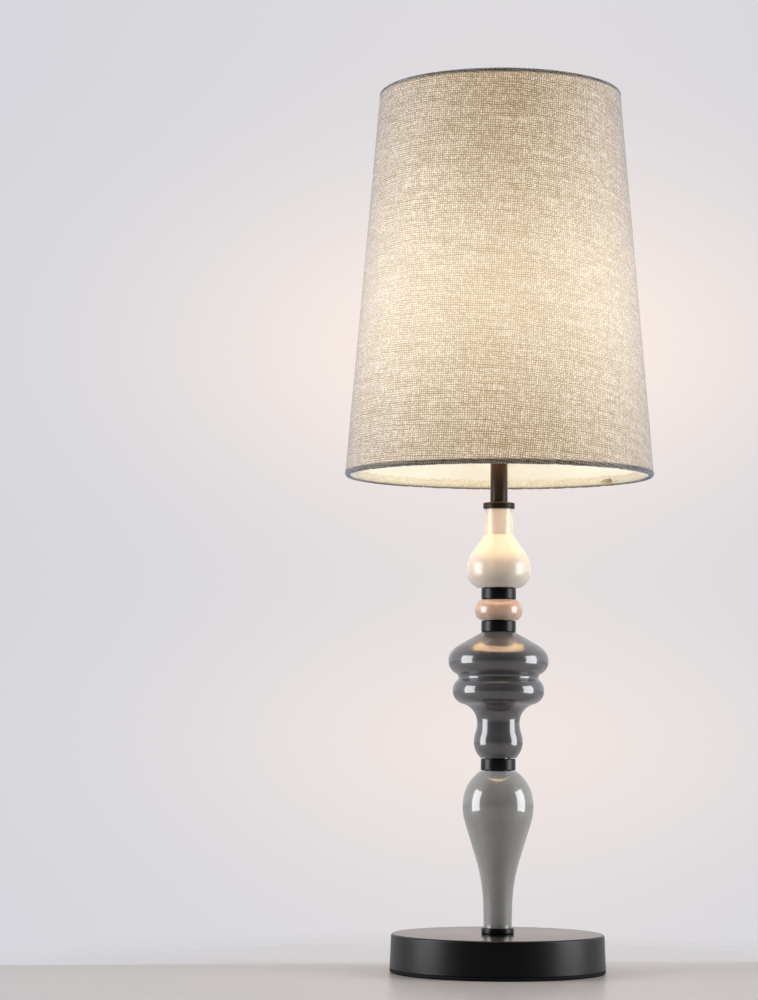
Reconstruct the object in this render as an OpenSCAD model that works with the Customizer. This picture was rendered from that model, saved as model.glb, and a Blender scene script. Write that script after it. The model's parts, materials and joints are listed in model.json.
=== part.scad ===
// Table lamp: a turned stack of glazed bodies on a weighted base, with a tapered linen shade.
// Model frame: +Z up, origin at the centre of the base's underside, millimetres.

/* [Base] */
// Diameter of the base at its foot
base_d = 173; // [150:1:210]
// Height of the base cover above the foot pad
base_h = 27.3; // [24:0.1:36]
// Thickness of the foot pad
pad_h = 3.5; // [2:0.1:6]
// How much narrower the base is at its top, all round
base_draft = 1.1; // [0:0.1:4]

/* [Turned bodies] */
// Height of the light grey body
lower_urn_h = 125.2; // [110:0.1:140]
// Height of the dark grey body
middle_urn_h = 101.8; // [92:0.1:115]
// Height of the bead
bead_h = 17.1; // [15:0.1:19]
// Height of the white vase
vase_h = 64.3; // [60:0.1:72]
// Wall of the hollow bodies
glaze_wall = 3.2; // [2.5:0.1:4]

/* [Spacers] */
// Diameter of the three black spacers
spacer_d = 28; // [27:0.1:32]
// Height of the lower spacer
lower_spacer_h = 9.6; // [6:0.1:14]
// Height of the middle and upper spacers
spacer_h = 9.1; // [6:0.1:14]
// Diameter of the foot ring
foot_ring_d = 26.2; // [25:0.1:32]
// Height of the foot ring
foot_ring_h = 4.8; // [3:0.1:8]
// Diameter of the collar under the riser
collar_d = 25.6; // [24:0.1:30]
// Height of the collar
collar_h = 4.9; // [3:0.1:8]

/* [Riser and holder] */
// Diameter of the riser tube
riser_d = 14; // [13.5:0.1:16]
// Length of the riser tube
riser_h = 48.4; // [36:0.1:70]
// Height at which the shade's fitter ring seats, above the riser
fitter_rise = 26.5; // [25:0.5:30]

/* [Shade] */
// Diameter of the shade at its bottom rim
shade_bottom_d = 250; // [220:1:300]
// Diameter of the shade at its top rim
shade_top_d = 196.4; // [150:0.1:220]
// Height of the shade
shade_h = 315; // [250:1:340]
// Height of the shade's bottom rim above the collar
shade_rise = 20.7; // [10:0.1:30]
// Thickness of the linen
linen_t = 0.8; // [0.6:0.1:1]
// Thickness of the stiff liner
liner_t = 0.5; // [0.3:0.1:0.8]
// Diameter of the shade's wire rings
wire_d = 3.2; // [2.5:0.1:4]
// Number of arms on the fitter
arm_count = 3; // [3:1:6]

/* [Hidden] */

$fn = 96;
play = 0.1;              // radial clearance of a bore over the rod
edge = 0.4;              // broken edge of the turned metal rings
sagitta = 0.03;          // how far a flat may stand off the arc that it follows

// Rod, its fasteners, seats and spigots
rod_d = 10;
rod_bore_d = 7;
rod_tail = 10.3;         // how far the rod reaches into the pocket of the ballast
rod_in_cap = 14;         // how far the rod reaches into the holder's cap
rod_washer_d = 30;
rod_washer_t = 1.8;
spring_washer_d = 16;
spring_washer_t = 1.6;
spring_gap = 1.2;        // split of the spring washer
nut_h = 4;
nut_width = 14;          // across its flats
spigot_d = 15.6;         // spigot of a ring, in the mouth of a glazed body
mouth_d = 16;            // mouth of a glazed body
riser_t = 1;             // wall of the riser tube
spigot_h = 3;
washer_t = 0.4;          // seat washer between a glazed body and metal
washer_d = 21;
end_t = 5;               // thickness of a body's flat ends
bead_end_t = 4;

// Base
cover_t = 1.5;
cover_edge_r = 2;        // rounding of the cover's top edge
ballast_gap = 1;         // between the ballast and the side of the cover
ballast_chamfer = 2;
pocket_d = 96;           // pocket in the ballast for the rod's nut
pocket_roof = 8;
channel_w = 13;          // channel for the cord, from the pocket to the inlet
inlet_z = 12;
inlet_d = 10;            // hole in the cover for the inlet bush
inlet_bore_d = 7;
bush_flange_r = 7;
bush_flange_t = 1.6;
bush_grip = 2.6;         // how far the bush reaches behind the cover's sheet
bush_barb = 0.9;         // by which its inner end is wider than its neck

// Heights at which the pieces of the stack meet
z_base_top = pad_h + base_h;
z_lower_urn = z_base_top + foot_ring_h;
z_lower_spacer = z_lower_urn + lower_urn_h;
z_middle_urn = z_lower_spacer + lower_spacer_h;
z_middle_spacer = z_middle_urn + middle_urn_h;
z_bead = z_middle_spacer + spacer_h;
z_upper_spacer = z_bead + bead_h;
z_vase = z_upper_spacer + spacer_h;
z_collar = z_vase + vase_h;
z_riser = z_collar + collar_h;
z_holder = z_riser + riser_h;
z_fitter = z_holder + fitter_rise;
z_shade = z_riser + shade_rise;
z_pocket = z_base_top - cover_t - pocket_roof;

// Lamp holder
holder_r = 19.7;         // threaded skirt that the shade ring runs on
holder_flange_r = 23.5;
flange_t = 2.5;
holder_wall = 2.6;
holder_h = 57;           // from the riser to the rim of the skirt
cap_boss_r = 9;
cap_boss_h = 3.5;
cap_dome_r = 6;
cap_dome_h = 10.5;       // height of the dome's centre
cap_h = 20;
cap_hollow_h = 9;
insert_r = 16.6;
insert_h = 8;
insert_boss_r = 7;
insert_boss_h = 3;
insert_ledge_w = 2.2;    // ledge in the holder that the insert sits on
insert_ledge_t = 2;
shell_r = 13.5;          // inner radius of the screw shell
shell_t = 0.4;
shell_h = 21;
shell_foot_w = 2;        // foot of the shell, turned inward
shell_lip_w = 1.3;       // lip of the shell, turned outward
contact_d = 8;
contact_t = 1.2;
tongue_w = 5;            // tongue of the centre contact
tongue_t = 0.5;
side_contact_w = 6;
side_contact_t = 0.8;
side_contact_h = 9;
screw_d = 6;             // heads of the terminal screws
screw_h = 2.2;
screw_r = 11;            // their distance from the axis
slot_w = 0.8;
slot_depth = 0.8;

// Ring that clamps the shade
ring_h = 9;
ring_wall = 3.2;
ring_flange = 2.2;       // thickness of its flange
ring_over = 1;           // by which the flange is wider than the fitter
ring_play = 0.3;
grip_r = 0.9;
grip_count = 20;
z_insert = z_holder + cap_h + 6;
z_socket = z_insert + insert_h;
z_bulb = z_socket + contact_t;

// Bulb
bulb_cap_r = 13.15;
bulb_cap_foot_r = 10.5;
bulb_cap_foot_h = 3;
bulb_cap_t = 0.6;
bulb_button_r = 4.5;
bulb_button_h = 2;
bulb_glass_r = 5;        // radius of the insulator at the button
bulb_glass_h = 3;        // black insulator between the button and the cap
bulb_cap_h = 20;
bulb_h = 108;
globe_r = 30;
globe_t = 1.2;
z_globe = z_bulb + bulb_h - globe_r;
z_bulb_cap = z_bulb + bulb_button_h + bulb_glass_h;
z_housing = z_bulb_cap + bulb_cap_h;
board_r = 19.8;
board_t = 1.6;
board_drop = 22;         // of the light board below the globe's centre
z_board = z_globe - board_drop;
housing_r = 14.2;        // at its collar on the cap
housing_collar_h = 4;
housing_rim_r = 21.6;
housing_wall = 2.4;
housing_floor = 2;
flare = [60, 8, -44];    // cove of the housing's side, from the cap to the globe

// Shade
shade_slope = atan((shade_bottom_d - shade_top_d) / 2 / shade_h);
wire_r = wire_d / 2;
hem_r = wire_r + linen_t;
hem_proud = 0.25;        // how far a hem stands out beyond the linen's face
turn_in = 7.5;           // width of the linen turned in behind each hem
wire_fit = 0.02;         // clearance of a hem on its wire
arm_fit = 0.3;           // clearance of a hem on the fitter's arms
glue_t = 0.02;           // film of glue on each face of the liner
slant = shade_h / cos(shade_slope);
bottom_hem = hem_centre(hem_r);
top_hem = hem_centre(shade_h - hem_r);

// Fitter
fitter_t = 1.2;
fitter_r = 27.5;
fitter_bore_r = 20.5;
weld = 0.4;              // how far an arm is sunk into the fitter ring by its weld
arm_seat_r = 24.6;       // inner end of an arm, under the fitter ring
arm_knee_r = 36;         // where an arm turns down towards the bottom ring

// ---------------------------------------------------------------------------------------------
// Turned outlines. An outline is a chain of circles [radius from the axis, height, size], listed
// from the bottom up. A positive size is a bulge, a negative size a cove and 0 a sharp corner.
// Where two circles in the chain don't touch, the straight line that both touch joins them.

// Outlines of the glazed bodies, each with the height that it is drawn at
LOWER_URN = [[11.3, 0, 0], [151.6, 13.9, -140], [-26.5, 98.1, 55], [-4, 98.1, 32.5]];
LOWER_URN_H = 125.2;
MIDDLE_URN = [
    [1.45, 13.6, 18.3], [-1.25, 13.6, 21], [43.2, 29.04, -26], [32.3, 29.04, -15.1],
    [25.7, 54.6, 11.3], [35.33, 65.2, -3.03], [28.5, 78.6, 12], [21.7, 74.2, 20], [13.2, 101.8, 0]
];
MIDDLE_URN_H = 101.8;
BEAD = [[9.6, 8.55, 9.8]];
BEAD_H = 17.1;
VASE = [[11.2, 14.1, 14.9], [-0.7, 14.1, 26.8], [14.95, 44.2, -3.5], [11.45, 64.3, 0]];
VASE_H = 64.3;

function scaled(chain, factor) = [for (c = chain) c * factor];
function inset(chain, wall) = [for (c = chain) [c[0], c[1], c[2] - wall]];
function limited(x) = max(-1, min(1, x));

// Angle that the outline faces where circle a hands over to circle b
function hand_over(a, b) =
    let (dr = b[0] - a[0], dz = b[1] - a[1],
         angle = atan2(dz, dr) - acos(limited((a[2] - b[2]) / norm([dr, dz]))))
    angle < -180 ? angle + 360 : angle;

// Angle that circle c faces at height z
function cut_angle(c, z) = c[2] == 0 ? 0 : asin(limited((z - c[1]) / c[2]));

// Points along circle c from one angle to the other
function arc(c, from, to) =
    let (size = abs(c[2]),
         count = size < 0.01 ? 0 : ceil(abs(to - from) / (2 * acos(1 - min(1, sagitta / size)))))
    [for (i = [0 : count])
        let (a = count == 0 ? from : from + (to - from) * i / count)
        [c[0] + c[2] * cos(a), c[1] + c[2] * sin(a)]];

// Points of a chain's outline, from z_from at its first circle to z_to at its last
function outline(chain, z_from, z_to) =
    let (last = len(chain) - 1,
         angles = [cut_angle(chain[0], z_from),
                   for (i = [1 : 1 : last]) hand_over(chain[i - 1], chain[i]),
                   cut_angle(chain[last], z_to)],
         points = [for (i = [0 : last]) each arc(chain[i], angles[i], angles[i + 1])])
    [for (i = [0 : len(points) - 1])
        if (i == 0 || norm(points[i] - points[i - 1]) > 0.01) points[i]];

// Half section of the solid inside a chain's outline
module half_section(chain, z_from, z_to) {
    points = outline(chain, z_from, z_to);
    polygon([[0, points[0][1]], each points, [0, points[len(points) - 1][1]]]);
}

// Half section of a plain ring with broken outer edges
module ring_section(inner_r, outer_r, height, bevel = edge) {
    polygon([
        [inner_r, 0], [outer_r - bevel, 0], [outer_r, bevel],
        [outer_r, height - bevel], [outer_r - bevel, height], [inner_r, height]
    ]);
}

// Half section of a rectangular ring
module plain_ring(inner_r, outer_r, z_from, z_to) {
    translate([inner_r, z_from]) square([outer_r - inner_r, z_to - z_from]);
}

// ---------------------------------------------------------------------------------------------
// Base

// Radius of the base cover's side at height z
function base_r(z) = base_d / 2 - base_draft * (z - pad_h) / base_h;

module base_cover() {
    top_r = base_r(z_base_top);
    outer = [[base_d / 2, pad_h, 0], [top_r - cover_edge_r, z_base_top - cover_edge_r, cover_edge_r]];
    color("#15161a") difference() {
        rotate_extrude() difference() {
            half_section(outer, pad_h, z_base_top);
            half_section(inset(outer, cover_t), pad_h, z_base_top);
            plain_ring(0, base_d, 0, pad_h);
            plain_ring(0, rod_d / 2 + play, pad_h, z_base_top + 1);
        }
        translate([0, 0, inlet_z]) rotate([-90, 0, 0]) cylinder(d = inlet_d, h = base_d);
    }
}

module base_weight() {
    roof = z_base_top - cover_t;
    top_r = base_r(roof) - cover_t - ballast_gap;
    color("#3a3b3d") difference() {
        rotate_extrude() difference() {
            polygon([
                [0, pad_h], [base_r(pad_h) - cover_t - ballast_gap, pad_h],
                [top_r, roof - ballast_chamfer], [top_r - ballast_chamfer, roof], [0, roof]
            ]);
            plain_ring(0, pocket_d / 2, 0, z_pocket);
            plain_ring(0, rod_d / 2 + play, 0, z_base_top);
        }
        translate([-channel_w / 2, 0, 0]) cube([channel_w, base_d, inlet_z + inlet_d / 2 + 2]);
    }
}

module foot_pad() {
    foot_edge = pad_h / 2;
    color("#0c0c0d") rotate_extrude()
        half_section([[base_d / 2 - foot_edge, foot_edge, foot_edge], [base_d / 2, pad_h, 0]], 0, pad_h);
}

module cord_bush() {
    neck_r = inlet_d / 2 - play;
    seat = base_r(inlet_z - bush_flange_r);
    inner_end = seat - cover_t - bush_grip;
    color("#101012") translate([0, 0, inlet_z]) rotate([-90, 0, 0]) rotate_extrude()
        difference() {
            union() {
                plain_ring(0, neck_r, inner_end, seat + bush_flange_t);
                translate([0, seat]) ring_section(0, bush_flange_r, bush_flange_t);
                translate([0, inner_end]) ring_section(0, neck_r + bush_barb, bush_flange_t);
            }
            plain_ring(0, inlet_bore_d / 2, 0, base_d);
        }
}

// ---------------------------------------------------------------------------------------------
// Rod and its fasteners

module threaded_rod() {
    color("#b9a36a") rotate_extrude()
        plain_ring(rod_bore_d / 2, rod_d / 2, z_pocket - rod_tail, z_holder + rod_in_cap);
}

// Ring that the rod passes through
module rod_ring(outer_d, z_from, z_to) {
    rotate_extrude() plain_ring(rod_d / 2 + play, outer_d / 2, z_from, z_to);
}

module rod_washer() {
    color("#a9adb0") rod_ring(rod_washer_d, z_pocket - rod_washer_t, z_pocket);
}

// Spring washer, split on one side
module spring_washer() {
    z_top = z_pocket - rod_washer_t;
    color("#8c8f92") difference() {
        rod_ring(spring_washer_d, z_top - spring_washer_t, z_top);
        translate([0, -spring_gap / 2, z_top - 2 * spring_washer_t])
            cube([spring_washer_d, spring_gap, 3 * spring_washer_t]);
    }
}

module rod_nut() {
    z_low = z_pocket - rod_washer_t - spring_washer_t - nut_h;
    color("#b9a36a") translate([0, 0, z_low]) difference() {
        cylinder(d = nut_width / cos(30), h = nut_h, $fn = 6);
        translate([0, 0, -1]) cylinder(r = rod_d / 2 + play, h = nut_h + 2);
    }
}

// ---------------------------------------------------------------------------------------------
// Stack

// Hollow glazed body on the rod, with a flat mouth at both ends
module glazed_body(chain, drawn_h, z, height, end = end_t) {
    outer = scaled(chain, height / drawn_h);
    translate([0, 0, z]) rotate_extrude() difference() {
        intersection() {
            half_section(outer, 0, height);
            plain_ring(0, base_d, washer_t, height - washer_t);
        }
        intersection() {
            half_section(inset(outer, glaze_wall), 0, height);
            plain_ring(0, base_d, end, height - end);
        }
        plain_ring(0, mouth_d / 2, -1, height + 1);
    }
}

module lower_urn() {
    color("#8f8f90") glazed_body(LOWER_URN, LOWER_URN_H, z_lower_urn, lower_urn_h);
}

module middle_urn() {
    color("#4a4949") glazed_body(MIDDLE_URN, MIDDLE_URN_H, z_middle_urn, middle_urn_h);
}

module peach_bead() {
    color("#e0ae84") glazed_body(BEAD, BEAD_H, z_bead, bead_h, bead_end_t);
}

module white_vase() {
    color("#f4efe6") glazed_body(VASE, VASE_H, z_vase, vase_h);
}

// Turned ring of the stack, with a spigot into the body below, above or both
module stack_ring(diameter, z, height, below, above) {
    translate([0, 0, z]) rotate_extrude() difference() {
        union() {
            ring_section(0, diameter / 2, height);
            if (below) plain_ring(0, spigot_d / 2, -spigot_h, height / 2);
            if (above) plain_ring(0, spigot_d / 2, height / 2, height + spigot_h);
        }
        plain_ring(0, rod_d / 2 + play, -height, 2 * height + spigot_h);
    }
}

module foot_ring() {
    color("#17181b") stack_ring(foot_ring_d, z_base_top, foot_ring_h, false, true);
}

module lower_spacer() {
    color("#17181b") stack_ring(spacer_d, z_lower_spacer, lower_spacer_h, true, true);
}

module middle_spacer() {
    color("#17181b") stack_ring(spacer_d, z_middle_spacer, spacer_h, true, true);
}

module upper_spacer() {
    color("#17181b") stack_ring(spacer_d, z_upper_spacer, spacer_h, true, true);
}

module top_collar() {
    color("#342a20") stack_ring(collar_d, z_collar, collar_h, true, false);
}

// Thin washers at both mouths of each glazed body
module seat_washers() {
    color("#c9c9c4") {
        for (body = [[z_lower_urn, lower_urn_h], [z_middle_urn, middle_urn_h], [z_bead, bead_h],
                     [z_vase, vase_h]])
            for (z = [body[0], body[0] + body[1] - washer_t])
                rotate_extrude() plain_ring(mouth_d / 2, washer_d / 2, z, z + washer_t);
    }
}

module riser_tube() {
    color("#342a20") rotate_extrude() plain_ring(riser_d / 2 - riser_t, riser_d / 2, z_riser, z_holder);
}

// ---------------------------------------------------------------------------------------------
// Lamp holder

module holder_cap() {
    outer = [
        [cap_boss_r, 0, 0], [cap_boss_r, cap_boss_h, 0],
        [holder_r - cap_dome_r, cap_dome_h, cap_dome_r], [holder_r, cap_h, 0]
    ];
    color("#141414") translate([0, 0, z_holder]) rotate_extrude() difference() {
        half_section(outer, 0, cap_h);
        intersection() {
            half_section(inset(outer, holder_wall), 0, cap_h);
            plain_ring(0, holder_r, cap_h - cap_hollow_h, cap_h + 1);
        }
        plain_ring(0, rod_d / 2 + play, -1, cap_h);
    }
}

module holder_body() {
    inner_r = holder_r - holder_wall;
    ledge = z_insert - z_holder;
    color("#141414") translate([0, 0, z_holder]) rotate_extrude() union() {
        translate([0, cap_h]) ring_section(inner_r, holder_r, holder_h - cap_h);
        translate([0, fitter_rise - flange_t]) ring_section(inner_r, holder_flange_r, flange_t);
        plain_ring(inner_r - insert_ledge_w, holder_r - 1, ledge - insert_ledge_t, ledge);
    }
}

module holder_insert() {
    color("#e8e6e0") translate([0, 0, z_insert]) rotate_extrude() union() {
        ring_section(0, insert_r, insert_h);
        plain_ring(0, insert_boss_r, -insert_boss_h, insert_h / 2);
    }
}

module screw_shell() {
    color("#c8a850") rotate_extrude() union() {
        plain_ring(shell_r, shell_r + shell_t, z_socket, z_socket + shell_h);
        plain_ring(shell_r - shell_foot_w, shell_r + shell_t, z_socket, z_socket + shell_t);
        plain_ring(shell_r, shell_r + shell_lip_w, z_socket + shell_h - shell_t, z_socket + shell_h);
    }
}

module centre_contact() {
    color("#c8a850") translate([0, 0, z_socket]) {
        cylinder(d = contact_d, h = contact_t);
        translate([-contact_d, -tongue_w / 2, 0]) cube([contact_d, tongue_w, tongue_t]);
    }
}

module side_contact() {
    color("#c8a850") translate([0, 0, z_socket])
        translate([-side_contact_w / 2, shell_r + shell_t, 0])
            cube([side_contact_w, side_contact_t, side_contact_h]);
}

// Two screws that clamp the conductors, under the insert
module terminal_screws() {
    color("#b0b3b6") for (side = [-1, 1])
        translate([side * screw_r, 0, z_insert - screw_h]) difference() {
            cylinder(d = screw_d, h = screw_h);
            translate([-screw_d, -slot_w / 2, -1]) cube([2 * screw_d, slot_w, slot_depth + 1]);
        }
}

// Ring that screws down on the holder's skirt and clamps the fitter, with grips round its collar
module shade_ring() {
    collar_r = holder_r + ring_wall;
    color("#141414") translate([0, 0, z_fitter + fitter_t]) difference() {
        union() {
            rotate_extrude() union() {
                ring_section(0, fitter_r + ring_over, ring_flange);
                translate([0, ring_flange / 2]) ring_section(0, collar_r, ring_h - ring_flange / 2);
            }
            for (i = [0 : grip_count - 1])
                rotate([0, 0, 360 * i / grip_count]) translate([collar_r, 0, ring_flange / 2])
                    cylinder(r = grip_r, h = ring_h - ring_flange / 2 - grip_r, $fn = 24);
        }
        translate([0, 0, -1]) cylinder(r = holder_r + ring_play, h = ring_h + 2);
    }
}

// ---------------------------------------------------------------------------------------------
// Bulb

module bulb_contact() {
    soft = bulb_button_r / 3;
    color("#c9c9c9") translate([0, 0, z_bulb]) rotate_extrude()
        half_section([[bulb_button_r - soft, soft, soft], [bulb_button_r, bulb_button_h, 0]],
                     0, bulb_button_h);
}

module bulb_insulator() {
    color("#1a1a1c") translate([0, 0, z_bulb + bulb_button_h])
        cylinder(r1 = bulb_glass_r, r2 = bulb_cap_foot_r, h = bulb_glass_h);
}

module bulb_cap() {
    color("#c4c6c8") translate([0, 0, z_bulb_cap]) rotate_extrude() difference() {
        polygon([
            [0, 0], [bulb_cap_foot_r, 0], [bulb_cap_r, bulb_cap_foot_h], [bulb_cap_r, bulb_cap_h],
            [0, bulb_cap_h]
        ]);
        plain_ring(0, bulb_cap_r - bulb_cap_t, bulb_cap_foot_h, bulb_cap_h + 1);
    }
}

// Housing that flares from the cap to the globe
module bulb_housing() {
    rim = z_board - z_housing;
    outer = [[housing_r, 0, 0], [housing_r, housing_collar_h, 0], flare, [housing_rim_r, rim, 0]];
    color("#f0efec") translate([0, 0, z_housing]) rotate_extrude() difference() {
        half_section(outer, 0, rim);
        intersection() {
            half_section(inset(outer, housing_wall), 0, rim);
            plain_ring(0, globe_r, housing_floor, rim - board_t / 2);
        }
        plain_ring(0, board_r, rim - board_t, rim + 1);
    }
}

module light_board() {
    color("#d8dadb") translate([0, 0, z_board - board_t]) cylinder(r = board_r - play, h = board_t);
}

module bulb_globe() {
    color("#fff6e0") translate([0, 0, z_globe]) rotate_extrude() difference() {
        half_section([[0, 0, globe_r]], z_board - z_globe, globe_r);
        half_section([[0, 0, globe_r - globe_t]], z_board - z_globe - 1, globe_r);
    }
}

// ---------------------------------------------------------------------------------------------
// Shade. Places in its wall are [distance up the slant from the bottom rim, depth inward].

function in_wall(up, depth) = [
    shade_bottom_d / 2 - up * sin(shade_slope) - depth * cos(shade_slope),
    up * cos(shade_slope) - depth * sin(shade_slope)
];

// Centre of the wire in a hem whose middle is at this height above the bottom rim
function hem_centre(height) =
    let (depth = hem_r - hem_proud)
    in_wall((height + depth * sin(shade_slope)) / cos(shade_slope), depth);

// Half section of a layer of the wall
module layer(up_from, up_to, depth_from, depth_to) {
    polygon([
        in_wall(up_from, depth_from), in_wall(up_to, depth_from),
        in_wall(up_to, depth_to), in_wall(up_from, depth_to)
    ]);
}

module hem_ring(centre, radius) {
    translate(centre) circle(r = radius);
}

module shade_fabric() {
    fold = linen_t + liner_t;
    color("#b9b2a4") difference() {
        translate([0, 0, z_shade]) rotate_extrude() difference() {
            union() {
                layer(hem_r, slant - hem_r, 0, linen_t);
                layer(hem_r, turn_in, fold, fold + linen_t);
                layer(slant - turn_in, slant - hem_r, fold, fold + linen_t);
                hem_ring(bottom_hem, hem_r);
                hem_ring(top_hem, hem_r);
            }
            hem_ring(bottom_hem, wire_r + wire_fit);
            hem_ring(top_hem, wire_r + wire_fit);
        }
        for (i = [0 : arm_count - 1]) arm_place(i) arm_run(wire_r + arm_fit);
    }
}

module shade_liner() {
    color("#f3ecd8") translate([0, 0, z_shade]) rotate_extrude()
        layer(2 * hem_r, slant - 2 * hem_r, linen_t + glue_t, linen_t + liner_t - glue_t);
}

module shade_top_wire() {
    color("#d9d9d6") translate([0, 0, z_shade]) rotate_extrude() hem_ring(top_hem, wire_r);
}

module shade_bottom_wire() {
    color("#d9d9d6") translate([0, 0, z_shade]) rotate_extrude() hem_ring(bottom_hem, wire_r);
}

// Turns an arm to its place: the first stands straight behind the riser
module arm_place(i) {
    rotate([0, 0, 90 + 360 * i / arm_count]) children();
}

// One arm of the fitter, along +X: flat under the fitter ring, then down to the bottom wire
module arm_run(radius) {
    z_flat = z_fitter - wire_r + weld;
    foot = [bottom_hem[0], z_shade + bottom_hem[1]];
    fall = atan2(z_flat - foot[1], foot[0] - arm_knee_r);
    translate([arm_seat_r, 0, z_flat]) rotate([0, 90, 0])
        cylinder(r = radius, h = arm_knee_r - arm_seat_r);
    translate([arm_knee_r, 0, z_flat]) rotate([0, 90 + fall, 0])
        cylinder(r = radius, h = norm([foot[0] - arm_knee_r, z_flat - foot[1]]));
    translate([arm_knee_r, 0, z_flat]) sphere(r = radius);
}

module shade_fitter() {
    color("#d9d9d6") difference() {
        union() {
            rotate_extrude() plain_ring(fitter_bore_r, fitter_r, z_fitter, z_fitter + fitter_t);
            for (i = [0 : arm_count - 1]) arm_place(i) arm_run(wire_r);
        }
        translate([0, 0, z_shade]) rotate_extrude() hem_ring(bottom_hem, wire_r + wire_fit);
    }
}

base_cover();
base_weight();
foot_pad();
cord_bush();
threaded_rod();
rod_washer();
spring_washer();
rod_nut();
foot_ring();
lower_urn();
lower_spacer();
middle_urn();
middle_spacer();
peach_bead();
upper_spacer();
white_vase();
top_collar();
seat_washers();
riser_tube();
holder_cap();
holder_body();
holder_insert();
screw_shell();
centre_contact();
side_contact();
terminal_screws();
shade_ring();
bulb_cap();
bulb_insulator();
bulb_contact();
bulb_housing();
light_board();
bulb_globe();
shade_fabric();
shade_liner();
shade_top_wire();
shade_bottom_wire();
shade_fitter();
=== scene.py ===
# %% [markdown]
# # A table lamp, dressed in Blender
#
# A lamp like this one is a stack: hollow glazed bodies and black metal rings, threaded on one rod
# that stands in a heavy base, with a holder, a bulb and a linen shade on top. The CAD model has
# every piece at its true size and place. Here each piece that can be seen gets the skin and the
# finish of the real one, and rides on the CAD body that it belongs to.

# %% Load the frame
import json
import math
from functools import partial
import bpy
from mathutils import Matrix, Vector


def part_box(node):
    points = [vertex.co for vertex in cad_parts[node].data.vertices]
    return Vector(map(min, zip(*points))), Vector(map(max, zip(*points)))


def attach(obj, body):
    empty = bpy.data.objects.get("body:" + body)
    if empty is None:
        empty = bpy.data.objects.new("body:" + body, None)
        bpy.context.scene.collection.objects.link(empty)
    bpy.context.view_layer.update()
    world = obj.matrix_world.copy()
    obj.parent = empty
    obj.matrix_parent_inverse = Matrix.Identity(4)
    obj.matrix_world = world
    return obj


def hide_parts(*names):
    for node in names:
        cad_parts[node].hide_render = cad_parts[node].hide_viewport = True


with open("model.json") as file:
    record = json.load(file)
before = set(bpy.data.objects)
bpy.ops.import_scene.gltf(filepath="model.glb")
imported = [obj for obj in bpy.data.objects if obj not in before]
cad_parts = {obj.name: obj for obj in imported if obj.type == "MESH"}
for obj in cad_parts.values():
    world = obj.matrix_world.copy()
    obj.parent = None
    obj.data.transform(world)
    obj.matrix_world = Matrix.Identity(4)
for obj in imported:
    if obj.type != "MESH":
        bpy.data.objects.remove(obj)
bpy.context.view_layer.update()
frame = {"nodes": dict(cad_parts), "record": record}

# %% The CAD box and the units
from types import SimpleNamespace

import bmesh
import bpy
from mathutils import Matrix, Vector, noise

MM = 0.001
BODY_OF = {
    node: body
    for body, nodes in frame["record"]["behaviour"]["bodies"].items() for node in nodes
}

# %% [markdown]
# ## Where things are
#
# Every size below comes from the boxes of the CAD nodes, so a piece that is made here can't
# drift away from the solid that it stands for. Sizes are worked out in millimetres, as a maker
# would, and turned into metres only when a mesh is made.

# %% Heights and radii of the nodes
def heights(name):
    """Lowest and highest point of a CAD node, in millimetres."""
    lowest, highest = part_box(name)
    return lowest.z / MM, highest.z / MM


def radius(name):
    """Outer radius of a round CAD node, in millimetres."""
    lowest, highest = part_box(name)
    return (highest.x - lowest.x) / 2 / MM


print("The lamp stands", round(heights("shade_top_wire")[1], 1), "mm high at its top wire")

# %% [markdown]
# ## Writing node trees as sums
#
# Materials and Geometry Nodes are both trees of nodes, and most of their nodes are arithmetic.
# A small class wraps one socket and gives it Python's operators, so that a pattern can be written
# as the formula that it is. Each operator adds a Math node, or a Vector Math node where a vector
# or a colour takes part. The reflected forms make 1 - mask work too. All other nodes come from
# one function. It finds the family that a kind of node belongs to, and sets the node's own
# settings before it touches its sockets.

# %% One function for any node
FAMILIES = ("ShaderNode", "GeometryNode", "FunctionNode", "")


def add_node(tree, kind, sockets=None, take=0, **settings):
    """Adds a node, sets or links its sockets, and returns one of its outputs."""
    family = next(name for name in FAMILIES if hasattr(bpy.types, name + kind))
    made = tree.nodes.new(family + kind)
    for name, value in settings.items():
        setattr(made, name, value)
    inputs = [socket for socket in made.inputs if socket.enabled]
    for key, value in (sockets or {}).items():
        socket = inputs[key if isinstance(key, int) else [s.name for s in inputs].index(key)]
        if isinstance(value, Field):
            tree.links.new(value.socket, socket)
        elif socket.type == "RGBA" and len(value) == 3:
            socket.default_value = (*value, 1)
        else:
            socket.default_value = value
    if isinstance(take, str):
        return Field(tree, made.outputs[take])
    outputs = [socket for socket in made.outputs if socket.enabled]
    return Field(tree, outputs[take]) if outputs else made


# %% The socket that can be used in a sum
def calculate(tree, operation, *values):
    """A Math node, or a Vector Math node where a vector or a colour takes part."""
    vector = any(
        isinstance(v, tuple) or isinstance(v, Field) and v.socket.type in ("VECTOR", "RGBA")
        for v in values
    )
    if vector:
        values = [(v, v, v) if isinstance(v, (int, float)) else v for v in values]
    kind = "VectorMath" if vector else "Math"
    return add_node(tree, kind, dict(enumerate(values)), operation=operation)


class Field:
    """One output socket of a tree, with Python's operators."""

    def __init__(self, tree, socket):
        self.tree, self.socket = tree, socket

    def __getitem__(self, name):
        """Another output of the same node."""
        return Field(self.tree, self.socket.node.outputs[name])

    def do(self, operation, *others):
        return calculate(self.tree, operation, self, *others)

    def parts(self):
        """A vector's X, Y and Z."""
        split = add_node(self.tree, "SeparateXYZ", {0: self})
        return split["X"], split["Y"], split["Z"]

    def between(self, low, high):
        """From 0 at one value to 1 at another, with a smooth step."""
        return add_node(self.tree, "MapRange", {0: self, 1: low, 2: high},
                        interpolation_type="SMOOTHSTEP")


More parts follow.
